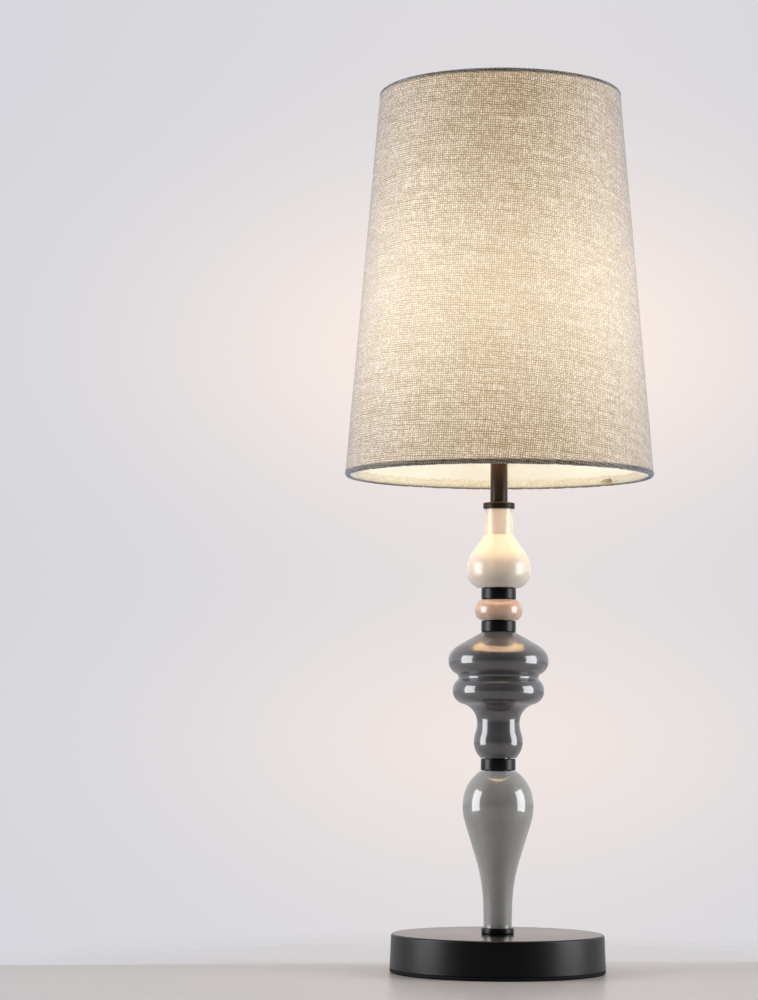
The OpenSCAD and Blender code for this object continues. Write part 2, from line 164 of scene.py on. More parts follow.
for sign, operation in (("add", "ADD"), ("sub", "SUBTRACT"), ("mul", "MULTIPLY"),
                        ("truediv", "DIVIDE"), ("pow", "POWER")):
    setattr(Field, f"__{sign}__", lambda a, b, do=operation: calculate(a.tree, do, a, b))
    setattr(Field, f"__r{sign}__", lambda a, b, do=operation: calculate(a.tree, do, b, a))
print("Sockets can now be added, multiplied and raised to a power")

# %% [markdown]
# ## Turning
#
# Nearly everything on this lamp is round and was made on a lathe or a wheel, so nearly everything
# can come from one rule: take half of the section, and carry it round the axis. Spin or a Screw
# modifier could do it. A Geometry Nodes tree does it better here, because it keeps its sizes as
# named inputs, welds its own seam and poles, and can cut a thread while it turns. The section
# comes in as a loop of points at their radius and height. A grid gets one column for each step
# round, and each of its points looks up its place in the section.

# %% The turning tree
SHARP = math.radians(32)   # corners above this angle stay sharp
WELD_WITHIN = 0.5e-6       # in metres


def new_tree(name, **kinds):
    """A Geometry Nodes tree with named inputs, its node maker, and the inputs' fields."""
    tree = bpy.data.node_groups.new(name, "GeometryNodeTree")
    for title, kind in kinds.items():
        tree.interface.new_socket(
            title.replace("_", " ").capitalize(), in_out="INPUT", socket_type="NodeSocket" + kind)
    tree.interface.new_socket("Geometry", in_out="OUTPUT", socket_type="NodeSocketGeometry")
    sockets = tree.nodes.new("NodeGroupInput").outputs
    fields = {title: Field(tree, socket) for title, socket in zip(kinds, sockets)}
    return tree, partial(add_node, tree), SimpleNamespace(**fields)


def end_tree(tree, geometry, finish):
    """Ends a tree as every tree here ends: real geometry, sharp corners kept, a material."""
    real = add_node(tree, "RealizeInstances", {0: geometry})
    smooth = add_node(tree, "SetShadeSmooth", {"Geometry": real}, domain="FACE")
    sharp = add_node(tree, "InputMeshEdgeAngle").do("GREATER_THAN", SHARP)
    creased = add_node(tree, "SetShadeSmooth", {
        "Geometry": smooth, "Selection": sharp, "Shade Smooth": False}, domain="EDGE")
    painted = add_node(tree, "SetMaterial", {"Geometry": creased, "Material": finish})
    add_node(tree, "NodeGroupOutput", {"Geometry": painted})
    return tree


def make_turning_tree():
    tree, node, given = new_tree(
        "turning", section="Geometry", steps_round="Int", start_angle="Float",
        thread_depth="Float", thread_pitch="Float", thread_from="Float", thread_to="Float",
        finish="Material")
    size = node("AttributeDomainSize", {0: given.section}, component="MESH")["Point Count"]
    rows = size + 1
    grid = node("MeshGrid", {"Vertices X": given.steps_round + 1, "Vertices Y": rows})
    index = node("InputIndex")
    column = (index / rows + 0.0001).do("FLOOR")
    row = (index - column * rows).do("MODULO", size)
    place = node("SampleIndex", {
        "Geometry": given.section, "Value": node("InputPosition"), "Index": row,
    }, data_type="FLOAT_VECTOR")
    reach, _, height = place.parts()
    turn = column / given.steps_round
    angle = turn * math.tau + given.start_angle
    wave = ((height / given.thread_pitch - turn) * math.tau).do("COSINE") - 1
    run_out = given.thread_pitch / 2
    above = height.between(given.thread_from, given.thread_from + run_out)
    below = height.between(given.thread_to, given.thread_to - run_out)
    reach = reach + wave * given.thread_depth * above * below / 2
    turned_place = node("CombineXYZ", {
        0: reach * angle.do("COSINE"), 1: reach * angle.do("SINE"), 2: height})
    bent = node("SetPosition", {"Geometry": grid, "Position": turned_place})
    mapped = node("StoreNamedAttribute", {
        "Geometry": bent, "Name": "turn_and_row", "Value": grid["UV Map"],
    }, data_type="FLOAT2", domain="CORNER")
    welded = node("MergeByDistance", {"Geometry": mapped, "Distance": WELD_WITHIN})
    return end_tree(tree, welded, given.finish)


turning = make_turning_tree()
print("The turning tree has", len(turning.nodes), "nodes")

# %% [markdown]
# A tree's result is baked into a plain mesh as soon as it is made: the export drops instances and
# live trees, and every piece has to be one mesh of one body. An input of a modifier is set by
# its socket's identifier, so a helper looks the identifiers up by name.

# %% Run a tree, bake it and seat the piece
def in_scene(name, data):
    """A new object in the scene, for a mesh, a camera or a lamp."""
    made = bpy.data.objects.new(name, data)
    bpy.context.scene.collection.objects.link(made)
    return made


def baked(carrier):
    """The plain mesh that an object's modifiers make. The object goes."""
    graph = bpy.context.evaluated_depsgraph_get()
    result = bpy.data.meshes.new_from_object(
        carrier.evaluated_get(graph), preserve_all_data_layers=True, depsgraph=graph)
    carrier.modifiers.clear()
    bpy.data.objects.remove(carrier)
    return result


def run_tree(tree, mesh, **inputs):
    """Runs a tree on a mesh, and returns the plain mesh that comes out."""
    carrier = in_scene(tree.name, mesh)
    modifier = carrier.modifiers.new(tree.name, "NODES")
    modifier.node_group = tree
    for item in tree.interface.items_tree:
        title = item.name.replace(" ", "_").lower()
        if title in inputs:
            modifier[item.identifier] = inputs[title]
    return baked(carrier)


def seat(name, mesh, node):
    """Makes a piece from a mesh, which stands for a CAD node and rides on that node's body."""
    mesh.name = name
    if "turn_and_row" in mesh.attributes:
        mesh.attributes.remove(mesh.attributes["turn_and_row"])
    piece = in_scene(name, mesh)
    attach(piece, BODY_OF[node])
    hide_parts(node)
    print(f"{name}: {len(mesh.polygons)} faces")
    return piece


def turned(section, finish, steps, thread=(0, 1, 0, 1), seam=0.0):
    """Turns a section: points at their radius and height, up the outside and down the inside.

    A thread is its depth, its pitch, and the heights where it starts and ends.
    """
    mesh = bpy.data.meshes.new("section")
    edges = [(i, (i + 1) % len(section)) for i in range(len(section))]
    mesh.from_pydata([(r * MM, 0, z * MM) for r, z in section], edges, [])
    depth, pitch, start, end = (part * MM for part in thread)
    return run_tree(
        turning, mesh, steps_round=steps, finish=finish, start_angle=seam,
        thread_depth=depth, thread_pitch=pitch, thread_from=start, thread_to=end)


# %% [markdown]
# ## Outlines of turned pieces
#
# A turner thinks of an outline as beads and coves that flow into each other. So does this model:
# each outline is a chain of circles, where a positive size is a bulge, a negative size a cove and
# 0 a sharp corner, and the straight line that touches two circles joins them. The same chains are
# in the CAD source, so the skin follows the solid. Only the step along the arcs is finer here,
# because a glossy glaze shows every flat.

# %% Arcs and chains of touching circles
SAGITTA = 0.004          # how far a step along an arc may cut into it
QUARTER = math.pi / 2


def arc(circle, start, end):
    """Points along a circle, from one angle that it faces to another."""
    r, z, size = circle
    count = 0
    if abs(size) > 0.01:
        count = math.ceil(abs(end - start) / (2 * math.acos(1 - min(1, SAGITTA / abs(size)))))
    turns = [start + (end - start) * i / max(1, count) for i in range(count + 1)]
    return [(r + size * math.cos(a), z + size * math.sin(a)) for a in turns]


def hand_over(a, b):
    """Angle that the outline faces where circle a hands over to circle b."""
    dr, dz = b[0] - a[0], b[1] - a[1]
    lean = math.acos(max(-1, min(1, (a[2] - b[2]) / math.hypot(dr, dz))))
    angle = math.atan2(dz, dr) - lean
    return angle + math.tau if angle < -math.pi else angle


def cut_angle(circle, z):
    """Angle that a circle faces at a height."""
    return math.asin(max(-1, min(1, (z - circle[1]) / circle[2]))) if circle[2] else 0


def chain_outline(chain, z_from, z_to):
    """Outline of a chain, from a height at its first circle to a height at its last."""
    angles = [cut_angle(chain[0], z_from), *(hand_over(a, b) for a, b in zip(chain, chain[1:])),
              cut_angle(chain[-1], z_to)]
    points = [p for c, a, b in zip(chain, angles, angles[1:]) for p in arc(c, a, b)]
    kept = [p for p, q in zip(points, points[1:]) if math.dist(p, q) > 0.002]
    return kept + points[-1:]


# %% Edges and rings
def eased_edge(r, low, high, ease):
    """The outer edge of a disc or ring, with both its corners eased."""
    return [*arc((r - ease, low + ease, ease), -QUARTER, 0),
            *arc((r - ease, high - ease, ease), 0, QUARTER)]


def eased_ring(inner, outer, low, high, ease):
    """Section of a ring whose outer corners are eased."""
    return [(inner, low), *eased_edge(outer, low, high, ease), (inner, high)]


def raised(section, z):
    """A section, lifted."""
    return [(r, height + z) for r, height in section]


# %% [markdown]
# ## A finish, and what it is made of
#
# No surface of a real lamp is one flat colour. Lacquer has orange peel, glaze flows and pools,
# spun metal keeps the marks of the tool. Each finish below starts from a Principled shader with
# its even numbers on the shader's own sockets. What varies over the surface is a formula of
# noise, read from Object coordinates or from the cloth's own map, and feeds only the colour, the
# roughness, the glow or the normal.

# %% Helpers for finishes
def tint(code):
    """Linear colour of a hex code."""
    parts = [int(code[i:i + 2], 16) / 255 for i in (1, 3, 5)]
    return tuple(c / 12.92 if c < 0.04045 else ((c + 0.055) / 1.055) ** 2.4 for c in parts)


class Finish:
    """A material in the making."""

    def __init__(self, name, **numbers):
        self.material = bpy.data.materials.new(name)
        self.material.use_nodes = True
        self.tree = self.material.node_tree
        self.shader = self.tree.nodes["Principled BSDF"]
        self.node = partial(add_node, self.tree)
        self.place = self.node("TexCoord", take="Object")
        for title, value in numbers.items():
            self.set(title, value)

    def set(self, title, value):
        """Sets or links one of the shader's sockets, such as base_color."""
        wanted = title.replace("_", " ").lower()
        socket = next(s for s in self.shader.inputs if s.name.lower() == wanted)
        if isinstance(value, Field):
            self.tree.links.new(value.socket, socket)
        else:
            socket.default_value = (*value, 1) if socket.type == "RGBA" else value

    def noise(self, lump, detail=2.0, at=None, stretch=(1, 1, 1)):
        """Noise from 0 to 1 whose lumps are about this many millimetres across."""
        place = (at or self.place) * tuple(s / (lump * MM) for s in stretch)
        return self.node("TexNoise", {"Vector": place, "Scale": 1.0, "Detail": detail})

    def mix(self, factor, a, b):
        """Colour a where the factor is 0, and colour b where it is 1."""
        a, b = (tint(colour) if isinstance(colour, str) else colour for colour in (a, b))
        return self.node("Mix", {0: factor, 1: a, 2: b}, data_type="RGBA")

    def relief(self, height, depth):
        """Feeds the normal with a bump of this depth in millimetres, and gives the material."""
        bump = {"Height": height, "Distance": depth * MM, "Strength": 1.0}
        self.set("normal", self.node("Bump", bump))
        return self.material


def clouded(name, light, deep, lump, detail=3.0, **numbers):
    """A finish with clouds of two tints, lump millimetres across, and the clouds themselves."""
    made = Finish(name, **numbers)
    cloud = made.noise(lump, detail)
    made.set("base_color", made.mix(cloud, light, deep))
    return made, cloud


def plain_finish(name, light, deep, lump, grain, depth, **numbers):
    """A clouded finish with an even gloss and a fine grained relief."""
    made = clouded(name, light, deep, lump, **numbers)[0]
    return made.relief(made.noise(grain), depth)


# %% [markdown]
# ## Glazes
#
# The four bodies are slip-cast and glazed in plain colours: white, peach, dark grey and light
# grey. A glaze is a coat of glass over a coloured body. It has flowed and pooled a little, so its
# colour drifts from light to deep, and its surface has a long, faint waviness that bends the
# edges of reflections. Coat gives the glass, and the wave is a bump.

# %% A glaze in any colour
def glaze(name, light, deep, glass=1.0, milky=0.0):
    """A glossy glaze, light where it is thin and deep where it has pooled.

    Glass is the weight of its coat, and milky is how much light goes into the body.
    """
    made = Finish(
        name, coat_weight=glass, coat_roughness=0.015, coat_ior=1.85, ior=1.5,
        specular_ior_level=0.33, subsurface_weight=milky, subsurface_scale=2.5 * MM,
        subsurface_radius=(1.0, 0.7, 0.45))
    pooling = made.noise(34, 1.5, stretch=(1, 1, 0.5))
    flow = made.noise(7, 3.0, stretch=(1, 1, 0.3))
    depth = (pooling * 0.75 + flow * 0.25).between(0.38, 0.66)
    made.set("base_color", made.mix(depth, light, deep))
    made.set("roughness", 0.3 + flow * 0.1)
    return made.relief(made.noise(22, 0.5), 0.14)


white_glaze = glaze("white_glaze", "#dcd4c8", "#d3cabd", glass=0.5, milky=0.7)
peach_glaze = glaze("peach_glaze", "#c9a893", "#bd9d88", glass=0.85, milky=0.4)
dark_grey_glaze = glaze("dark_grey_glaze", "#4f4e50", "#454447")
light_grey_glaze = glaze("light_grey_glaze", "#8d8c88", "#81807c")

# %% [markdown]
# ## The four glazed bodies
#
# Each body is hollow, as a cast pot is: the section runs up the outline, over the lip of the top
# mouth, and down the inner wall, which is the same chain of circles made smaller by the wall.

# %% Chains of the bodies, at their own heights
LOWER_URN = [(11.3, 0, 0), (151.6, 13.9, -140), (-26.5, 98.1, 55), (-4, 98.1, 32.5)]
MIDDLE_URN = [
    (1.45, 13.6, 18.3), (-1.25, 13.6, 21), (43.2, 29.04, -26), (32.3, 29.04, -15.1),
    (25.7, 54.6, 11.3), (35.33, 65.2, -3.03), (28.5, 78.6, 12), (21.7, 74.2, 20),
    (13.2, 101.8, 0),
]
BEAD = [(9.6, 8.55, 9.8)]
VASE = [(11.2, 14.1, 14.9), (-0.7, 14.1, 26.8), (14.95, 44.2, -3.5), (11.45, 64.3, 0)]

WALL = 3.2               # wall of a body
SEAT = 0.4               # a seat washer's thickness, by which each end is cut back
MOUTH = 8.0              # radius of a mouth
LIP = 0.5                # easing of a lip, where the glaze rounds the edge


def body_section(node, chain, own_height, land):
    """Closed section of a hollow body between its two seat washers."""
    bottom, top = heights(node)
    height = top - bottom + 2 * SEAT
    outer = [tuple(part * height / own_height for part in circle) for circle in chain]
    inner = [(r, z, size - WALL) for r, z, size in outer]
    outside = chain_outline(outer, SEAT + LIP, height - SEAT - LIP)
    foot_r, lip_r = outside[0][0] - LIP, outside[-1][0] - LIP
    foot = arc((foot_r, SEAT + LIP, LIP), -QUARTER, 0)[:-1]
    lip = arc((lip_r, height - SEAT - LIP, LIP), 0, QUARTER)[1:]
    inside = chain_outline(inner, land, height - land)[::-1]
    loop = [(MOUTH, SEAT), *foot, *outside, *lip, (MOUTH, height - SEAT),
            (MOUTH, height - land), *inside, (MOUTH, land)]
    return raised(loop, bottom - SEAT)


# %% Turn the bodies
BODIES = (               # the height of each chain, and how thick the body is at its mouths
    ("lower_urn", LOWER_URN, 125.2, 5, light_grey_glaze, "light_grey_glaze"),
    ("middle_urn", MIDDLE_URN, 101.8, 5, dark_grey_glaze, "dark_grey_glaze"),
    ("peach_bead", BEAD, 17.1, 4, peach_glaze, "peach_glaze"),
    ("white_vase", VASE, 64.3, 5, white_glaze, "white_glaze"),
)
for node, chain, own_height, land, finish, slot in BODIES:
    section = body_section(node, chain, own_height, land)
    seat("glazed_" + node, turned(section, finish, 192), node)

# %% [markdown]
# ## Black and bronze metal
#
# The rings between the bodies are turned steel with a satin black lacquer. The lathe's fine feed
# marks still show through it as rings. The base cover is spun sheet with a finely textured satin
# powder coat, which has flowed out smoother on its flat top. The riser and its collar are a very
# dark bronze, with more metal in the reflection and the fine lines of drawn tube.

# %% Lacquer, powder coat and bronze
def turned_black():
    """Satin black on turned rings."""
    made, cloud = clouded("satin_black_lacquer", "#08090a", "#0e0f11", 9,
                          ior=1.5, specular_ior_level=0.32)
    made.set("roughness", 0.25 + cloud * 0.08)
    feed = made.noise(0.55, 1.0, stretch=(0.02, 0.02, 1))
    return made.relief(feed * 0.7 + made.noise(0.8) * 0.3, 0.012)


def powder_black():
    """Powder coat, which flows out smoother on the flat top than on the side."""
    made, cloud = clouded("satin_black_powder_coat", "#040405", "#0b0b0c", 38,
                          ior=1.5, specular_ior_level=0.33)
    grain = made.noise(0.9, 2.5)
    top = heights("base_cover")[1]
    on_top = made.place.parts()[2].between((top - 1.2) * MM, (top - 0.1) * MM)
    made.set("roughness", 0.33 + cloud * 0.05 + grain * 0.03 - on_top * 0.17)
    return made.relief(grain * (1 - on_top * 0.7), 0.02)


def dark_bronze():
    """Bronze with the fine lines of drawn tube."""
    made, cloud = clouded("dark_bronze", "#241e1a", "#2f2924", 12, metallic=0.85, ior=1.5)
    made.set("roughness", 0.3 + cloud * 0.1)
    return made.relief(made.noise(0.5, 1.0, stretch=(1, 1, 0.02)), 0.01)


black_lacquer, black_powder, bronze = turned_black(), powder_black(), dark_bronze()

# %% [markdown]
# The rings' spigots and seats can't be seen, but each ring is still one closed piece with the
# bore for the rod, so that nothing shows light through a joint.

# %% Turn the rings, the riser and its collar
ROD_BORE = 5.1
SPIGOT = 3.0             # how far a ring reaches into the bodies above and below it
RINGS = ("foot_ring", "lower_spacer", "middle_spacer", "upper_spacer", "top_collar")
for node in RINGS:
    low, high = heights(node)
    low += SPIGOT if node != "foot_ring" else 0
    high -= SPIGOT if node != "top_collar" else 0
    section = eased_ring(ROD_BORE, radius(node), low, high, 0.9)
    finish, slot = black_lacquer, "black_metal"
    if node == "top_collar":
        finish, slot = bronze, "bronze_metal"
    seat("turned_" + node, turned(section, finish, 128), node)

riser_r = radius("riser_tube")
section = eased_ring(riser_r - 1, riser_r, *heights("riser_tube"), 0.3)
seat("riser", turned(section, bronze, 96), "riser_tube")

# %% [markdown]
# ## The base
#
# The cover is a shallow spun dish over an iron weight: nearly straight sides, a soft top edge,
# and a flat top that meets the foot ring. It stands on a thin black foam pad whose edge is
# rounded. Both are turned pieces.

# %% Turn the base cover
COVER = 1.5              # sheet thickness of the cover
TOP_EDGE = 2.0           # rounding of the cover's top edge
BASE_DRAFT = 1.1         # how much smaller the cover is at its top
low, high = heights("base_cover")
foot_r = radius("base_cover")
edge_r, edge_z = foot_r - BASE_DRAFT - TOP_EDGE, high - TOP_EDGE
outside = chain_outline([(foot_r, low, 0), (edge_r, edge_z, TOP_EDGE)], low, high)
inside = chain_outline(
    [(foot_r - COVER, low, 0), (edge_r, edge_z, TOP_EDGE - COVER)], low, high - COVER)[::-1]
section = [*outside, (ROD_BORE, high), (ROD_BORE, high - COVER), *inside]
cover = turned(section, black_powder, 256)

# %% [markdown]
# The hole for the cord's bush is drilled through the back of the cover: a round bar is taken
# away from it by a Boolean.

# %% Drill the cover
INLET_R = 5.0
inlet_z = sum(heights("cord_bush")) / 2
drill = bmesh.new()
bmesh.ops.create_cone(drill, cap_ends=True, segments=64, radius1=INLET_R * MM,
                      radius2=INLET_R * MM, depth=20 * MM)
bar = bpy.data.meshes.new("bar")
drill.to_mesh(bar)
drill.free()
bar.transform(Matrix.Translation((0, foot_r * MM, inlet_z * MM))
              @ Matrix.Rotation(QUARTER, 4, "X"))
block, tool = in_scene("block", cover), in_scene("bar", bar)
cut = block.modifiers.new("inlet", "BOOLEAN")
cut.operation, cut.solver, cut.object = "DIFFERENCE", "EXACT", tool
seat("cover", baked(block), "base_cover")
bpy.data.objects.remove(tool)

# %% The pad
foam = plain_finish("pad_foam", "#0a0a0b", "#131314", 0.7, 0.7, 0.08,
                    roughness=0.85, ior=1.45, specular_ior_level=0.3)
low, high = heights("foot_pad")
edge = (high - low) / 2
rounded = arc((radius("foot_pad") - edge, low + edge, edge), -QUARTER, QUARTER)
seat("pad", turned([(0, low), *rounded, (0, high)], foam, 256), "foot_pad")

# %% [markdown]
# ## The shade's wall
#
# The shade is a cone of linen that is laminated to a stiff cream liner. At both rims the linen
# runs on past the liner, round a wire ring, and back up the inside, where its raw edge is glued
# down. Places in the wall are given as on the drawing: how far up the slant from the bottom
# rim, and how deep into the wall.

# %% Places in the wall
LINEN, LINER = 0.8, 0.5  # thickness of the cloth and of the liner
TURN_IN = 7.5            # how far from the rim the raw edge lies
HEM_PROUD = 0.25         # how far the fold round a wire stands proud of the wall
shade_low, shade_high = heights("shade_fabric")
bottom_wire_low, bottom_wire_high = heights("shade_bottom_wire")
WIRE_R = (bottom_wire_high - bottom_wire_low) / 2
HEM_R = WIRE_R + LINEN
bottom_wire_r = radius("shade_bottom_wire") - WIRE_R
top_wire_r = radius("shade_top_wire") - WIRE_R
bottom_wire_z = bottom_wire_low + WIRE_R
top_wire_z = heights("shade_top_wire")[1] - WIRE_R
slope = math.atan2(bottom_wire_r - top_wire_r, top_wire_z - bottom_wire_z)
depth_of_wire = HEM_R - HEM_PROUD
bottom_rim_r = bottom_wire_r + depth_of_wire / math.cos(slope) + HEM_R * math.tan(slope)
slant = (shade_high - shade_low) / math.cos(slope)


def in_wall(up, depth):
    """Radius and height of a place in the wall."""
    return (bottom_rim_r - up * math.sin(slope) - depth * math.cos(slope),
            shade_low + up * math.cos(slope) - depth * math.sin(slope))


print("The wall leans", round(math.degrees(slope), 2), "degrees and is", round(slant, 1), "mm long")

# %% [markdown]
# The linen's section is drawn as one path along the middle of the cloth: down the inside from the
# raw edge, round the bottom wire, up the outside, round the top wire and down to the other raw
# edge. The cloth's two faces are that path moved to either side by half its thickness.

# %% The path of the linen
ROUND_WIRE, OFF_WIRE = math.radians(207), math.radians(18)   # where the cloth leaves a wire
CLEAR_OF_HEM = 2.4 * HEM_R   # where the fold has run out into the wall
FINE, COARSE = 0.8, 6    # steps along the path near the rims and between them


def round_wire(r, z, first, last, steps=22):
    """Points on the cloth's middle round a wire, from one angle to another."""
    size = WIRE_R + LINEN / 2
    angles = [first + (last - first) * i / steps for i in range(steps + 1)]
    return [(r + size * math.cos(a), z + size * math.sin(a)) for a in angles]


def evenly(start, end, step):
    """Points on a straight line, about one step apart, without its ends."""
    count = max(1, round(math.dist(start, end) / step))
    return [tuple(a + (b - a) * i / count for a, b in zip(start, end)) for i in range(1, count)]


def linen_path():
    turned_in = LINEN + LINER + LINEN / 2
    low_edge, high_edge = (in_wall(up, turned_in) for up in (TURN_IN, slant - TURN_IN))
    wall_low, wall_high = (in_wall(up, LINEN / 2) for up in (CLEAR_OF_HEM, slant - CLEAR_OF_HEM))
    low_bend = round_wire(bottom_wire_r, bottom_wire_z, -ROUND_WIRE, OFF_WIRE + slope)
    high_bend = round_wire(top_wire_r, top_wire_z, -OFF_WIRE + slope, ROUND_WIRE + 2 * slope)
    return [
        low_edge, *evenly(low_edge, low_bend[0], FINE), *low_bend,
        *evenly(low_bend[-1], wall_low, FINE), wall_low,
        *evenly(wall_low, wall_high, COARSE), wall_high,
        *evenly(wall_high, high_bend[0], FINE), *high_bend,
        *evenly(high_bend[-1], high_edge, FINE), high_edge,
    ]


def thickened(path, thickness):
    """Closed section of a sheet that follows a path, its outer face first."""
    faces = ([], [])
    for i, (r, z) in enumerate(path):
        before, after = path[max(0, i - 1)], path[min(len(path) - 1, i + 1)]
        along = (after[0] - before[0], after[1] - before[1])
        length = math.hypot(*along)
        across = (along[1] / length, -along[0] / length)
        for face, side in zip(faces, (0.5, -0.5)):
            face.append((r + across[0] * side * thickness, z + across[1] * side * thickness))
    return faces[0] + faces[1][::-1]


path = linen_path()
lengths = [0.0]
for a, b in zip(path, path[1:]):
    lengths.append(lengths[-1] + math.dist(a, b))
print("The linen is cut", round(lengths[-1], 1), "mm high, with its two hems")

# %% [markdown]
# ## Linen
#
# Seen close, the linen is a plain weave of grey and natural yarns. No yarn is even: each has
# slubs, thick places a few centimetres long, and it drifts from its row, so the holes between
# the yarns are all of different sizes. When the bulb is on, light comes through the holes, the
# yarns are darker, and the crossings are darkest. The pattern is drawn in the map of the flat
# cut, in metres, where the yarns run straight, as they did when the panel was cut.
#
# A lit shade glows, and the glow has a shape. The light that bounces about inside is the same
# everywhere, and the straight light of the bulb falls off with the distance to the wall. Where
# it is strong it shines through the yarns as well, and evens the pattern out. Both are written
# as an emission colour that depends on height alone, for the lamp is round. The yarns let warm
# light through, and what comes through the holes is whiter. The pale liner shows through the
# holes from outside as well. The hems are double and have no holes: hardly any light gets
# through them, and the pale flecks of their slubs show. The nap of the cloth is a sheen, which
# covers the glow where the wall turns away, so that the sides of the shade are dimmer and cooler.

# %% Yarns, slubs and the holes between them
YARN = 1.8               # from one yarn to the next
WARP_STOPS, WEFT_STOPS = 0.65, 0.78   # how much light the middle of a yarn keeps back
BRIGHTEN = 1.75          # brings the light through the weave to 1 on average


def yarn_run(made, across, along, seed):
    """How thick the yarn is at a place, from 0 between yarns to 1, and its slubs."""
    number = across.do("FLOOR")
    thickness = 0.5 - ((across - number) * math.tau).do("COSINE") * 0.5
    place = made.node("CombineXYZ", {0: number * 3.7 + seed, 1: along * 0.05, 2: seed})
    slubs = made.node("TexNoise", {"Vector": place, "Scale": 1.0, "Detail": 2.0})
    return thickness, slubs - 0.5


def drift(made, at, slow, quick, strength):
    """How far the yarns drift from their rows: in slow waves, and in quick ones."""
    return made.noise(slow, 1.0, at=at) * 1.4 + made.noise(quick, 1.0, at=at) * strength


def weave(made, flat):
    """Light through the linen, about 1 on average, its relief, and its slubs."""
    x, y, _ = flat.parts()
    across = x / (YARN * MM) + drift(made, flat, 34, 6, 0.8)
    up = y / (YARN * MM) + drift(made, flat + (0.7, 0.3, 0), 27, 7, 0.9)
    warp, warp_slubs = yarn_run(made, across, up, 11.0)
    weft, weft_slubs = yarn_run(made, up, across, 47.0)
    hole = made.node("CombineXYZ", {
        0: (across + 0.5).do("FLOOR"), 1: (up + 0.5).do("FLOOR"), 2: 0.0})
    opening = made.node("TexWhiteNoise", {"Vector": hole}, noise_dimensions="2D")
    past_warp = 1 - (warp + warp_slubs * 0.8).between(0.3, 1.1) * WARP_STOPS
    past_weft = 1 - (weft + weft_slubs * 1.5).between(0.3, 1.15) * WEFT_STOPS
    light = past_warp * past_weft * (opening * 0.7 + 0.65) * BRIGHTEN
    over = ((across.do("FLOOR") + up.do("FLOOR")) * 0.5).do("FRACT") * 2
    on_top = over.between(0.4, 0.6)
    relief = on_top * warp + (1 - on_top) * weft + warp_slubs * 0.6 + weft_slubs * 0.8
    return light, relief, weft_slubs * 0.6 + warp_slubs * 0.4


# %% Where the linen glows
BELOW_MIDDLE = 9         # the globe is brightest towards its cap
bulb_z = sum(heights("bulb_globe")) / 2 - BELOW_MIDDLE
REACH = 150              # height over which the bulb's straight light falls off
STRAIGHT = (0.512, 0.450, 0.350)
BOUNCED = (0.20, 0.110, 0.022)
EVENED = 0.66            # how much of the pattern is lost next to the bulb
THROUGH_HOLES = (0.73, 0.92, 1.45)   # how much of each colour takes the way through the holes
THROUGH_HEM = 0.05       # share of the light that gets through the double linen of a hem
OUTER_FACE = (-1.25, -0.75)   # how deep in the wall the outside's finish gives way
LOW_HEM, HIGH_HEM = (3.4, 4.8), (2.6, 4.4)   # where each hem ends, from its rim
# Between these heights the fold under the bottom wire gets a painted shade, a darker tint.
SHADE_UNDER_WIRE = (1.9, 0.6)  # where the fold is under the bottom wire, from the rim


def off_axis(x, y):
    """Distance from the lamp's axis."""
    return (x * x + y * y).do("SQRT")


def lit_part(made):
    """Straight light by height, and masks: outside, clear of wires, painted shade under the wire.
    """
    x, y, z = made.place.parts()
    z = z / MM
    wall = bottom_rim_r - (z - shade_low) * math.tan(slope)
    outside = (off_axis(x, y) / MM - wall).between(*OUTER_FACE)
    past_low_hem = z.between(*(shade_low + up for up in LOW_HEM))
    clear = past_low_hem * z.between(*(shade_high - down for down in HIGH_HEM))
    painted_fold_shade = z.between(*(shade_low + up for up in SHADE_UNDER_WIRE))
    off = (z - bulb_z) / REACH
    return (1 + off * off) ** -1.5, outside, clear, painted_fold_shade


# %% The linen's finish
def linen_finish():
    made = Finish("linen", roughness=0.85, ior=1.45, specular_ior_level=0.2, sheen_weight=1.0,
                  sheen_roughness=0.4, sheen_tint=(0.56, 0.69, 1.0), emission_strength=1.0)
    light, relief, slubs = weave(made, made.node("UVMap", uv_map="weave"))
    straight, outside, clear, painted_fold_shade = lit_part(made)
    glow = made.mix(straight, BOUNCED, tuple(a + b for a, b in zip(BOUNCED, STRAIGHT)))
    pattern = light + (1 - light) * straight * EVENED
    coloured = ((pattern - 1) * THROUGH_HOLES + (1.0, 1.0, 1.0)).do("MAXIMUM", (0.0, 0.0, 0.0))
    through = clear * (1 - THROUGH_HEM) + THROUGH_HEM
    made.set("emission_color", glow * coloured * (outside * through))
    flecks = (relief + slubs * 1.5).between(0.3, 0.85)
    yarn = made.mix(clear, made.mix(flecks, "#332e27", "#a19783"), "#6a6969")
    backed = made.mix(light * clear * 0.2, yarn, "#e3dfd6")
    # Inside, the fold under the bottom wire is darkened: painted shade, not a colour of the cloth.
    turned_in = made.mix(painted_fold_shade, made.mix(light * 0.5, "#c9bfa4", "#f0e8d4"), "#8a7c64")
    made.set("base_color", made.mix(outside, turned_in, backed))
    return made.relief(relief, 0.3)


linen = linen_finish()

# %% [markdown]
# The panel is cut as part of a flat ring, and its map is that cut: an angle round the lamp
# becomes a smaller angle round the cone's tip, and a length up the wall a distance from the tip.
# The overlap where the panel is closed stands proud by the thickness of the cloth. A stiff cone
# that was rolled by hand is never quite true, so the wall gets a slow wander, and the fold at the
# bottom rim is a little lumpy.

# %% Map and shape the linen
SEAM = math.radians(44)
OVERLAP = 13.0
WANDER = 0.35            # how far the wall is out of true
RIM_LUMPS = 0.9          # how far the fold at the bottom rim is lumpy
RIM_REACH = 6.0          # height over which the lumps die away
SLOW, LUMPY = 1.7, 22    # how quickly each changes round the lamp
rim_step = min(range(len(path)), key=lambda i: path[i][1])
tip_to_rim = bottom_rim_r / math.sin(slope)


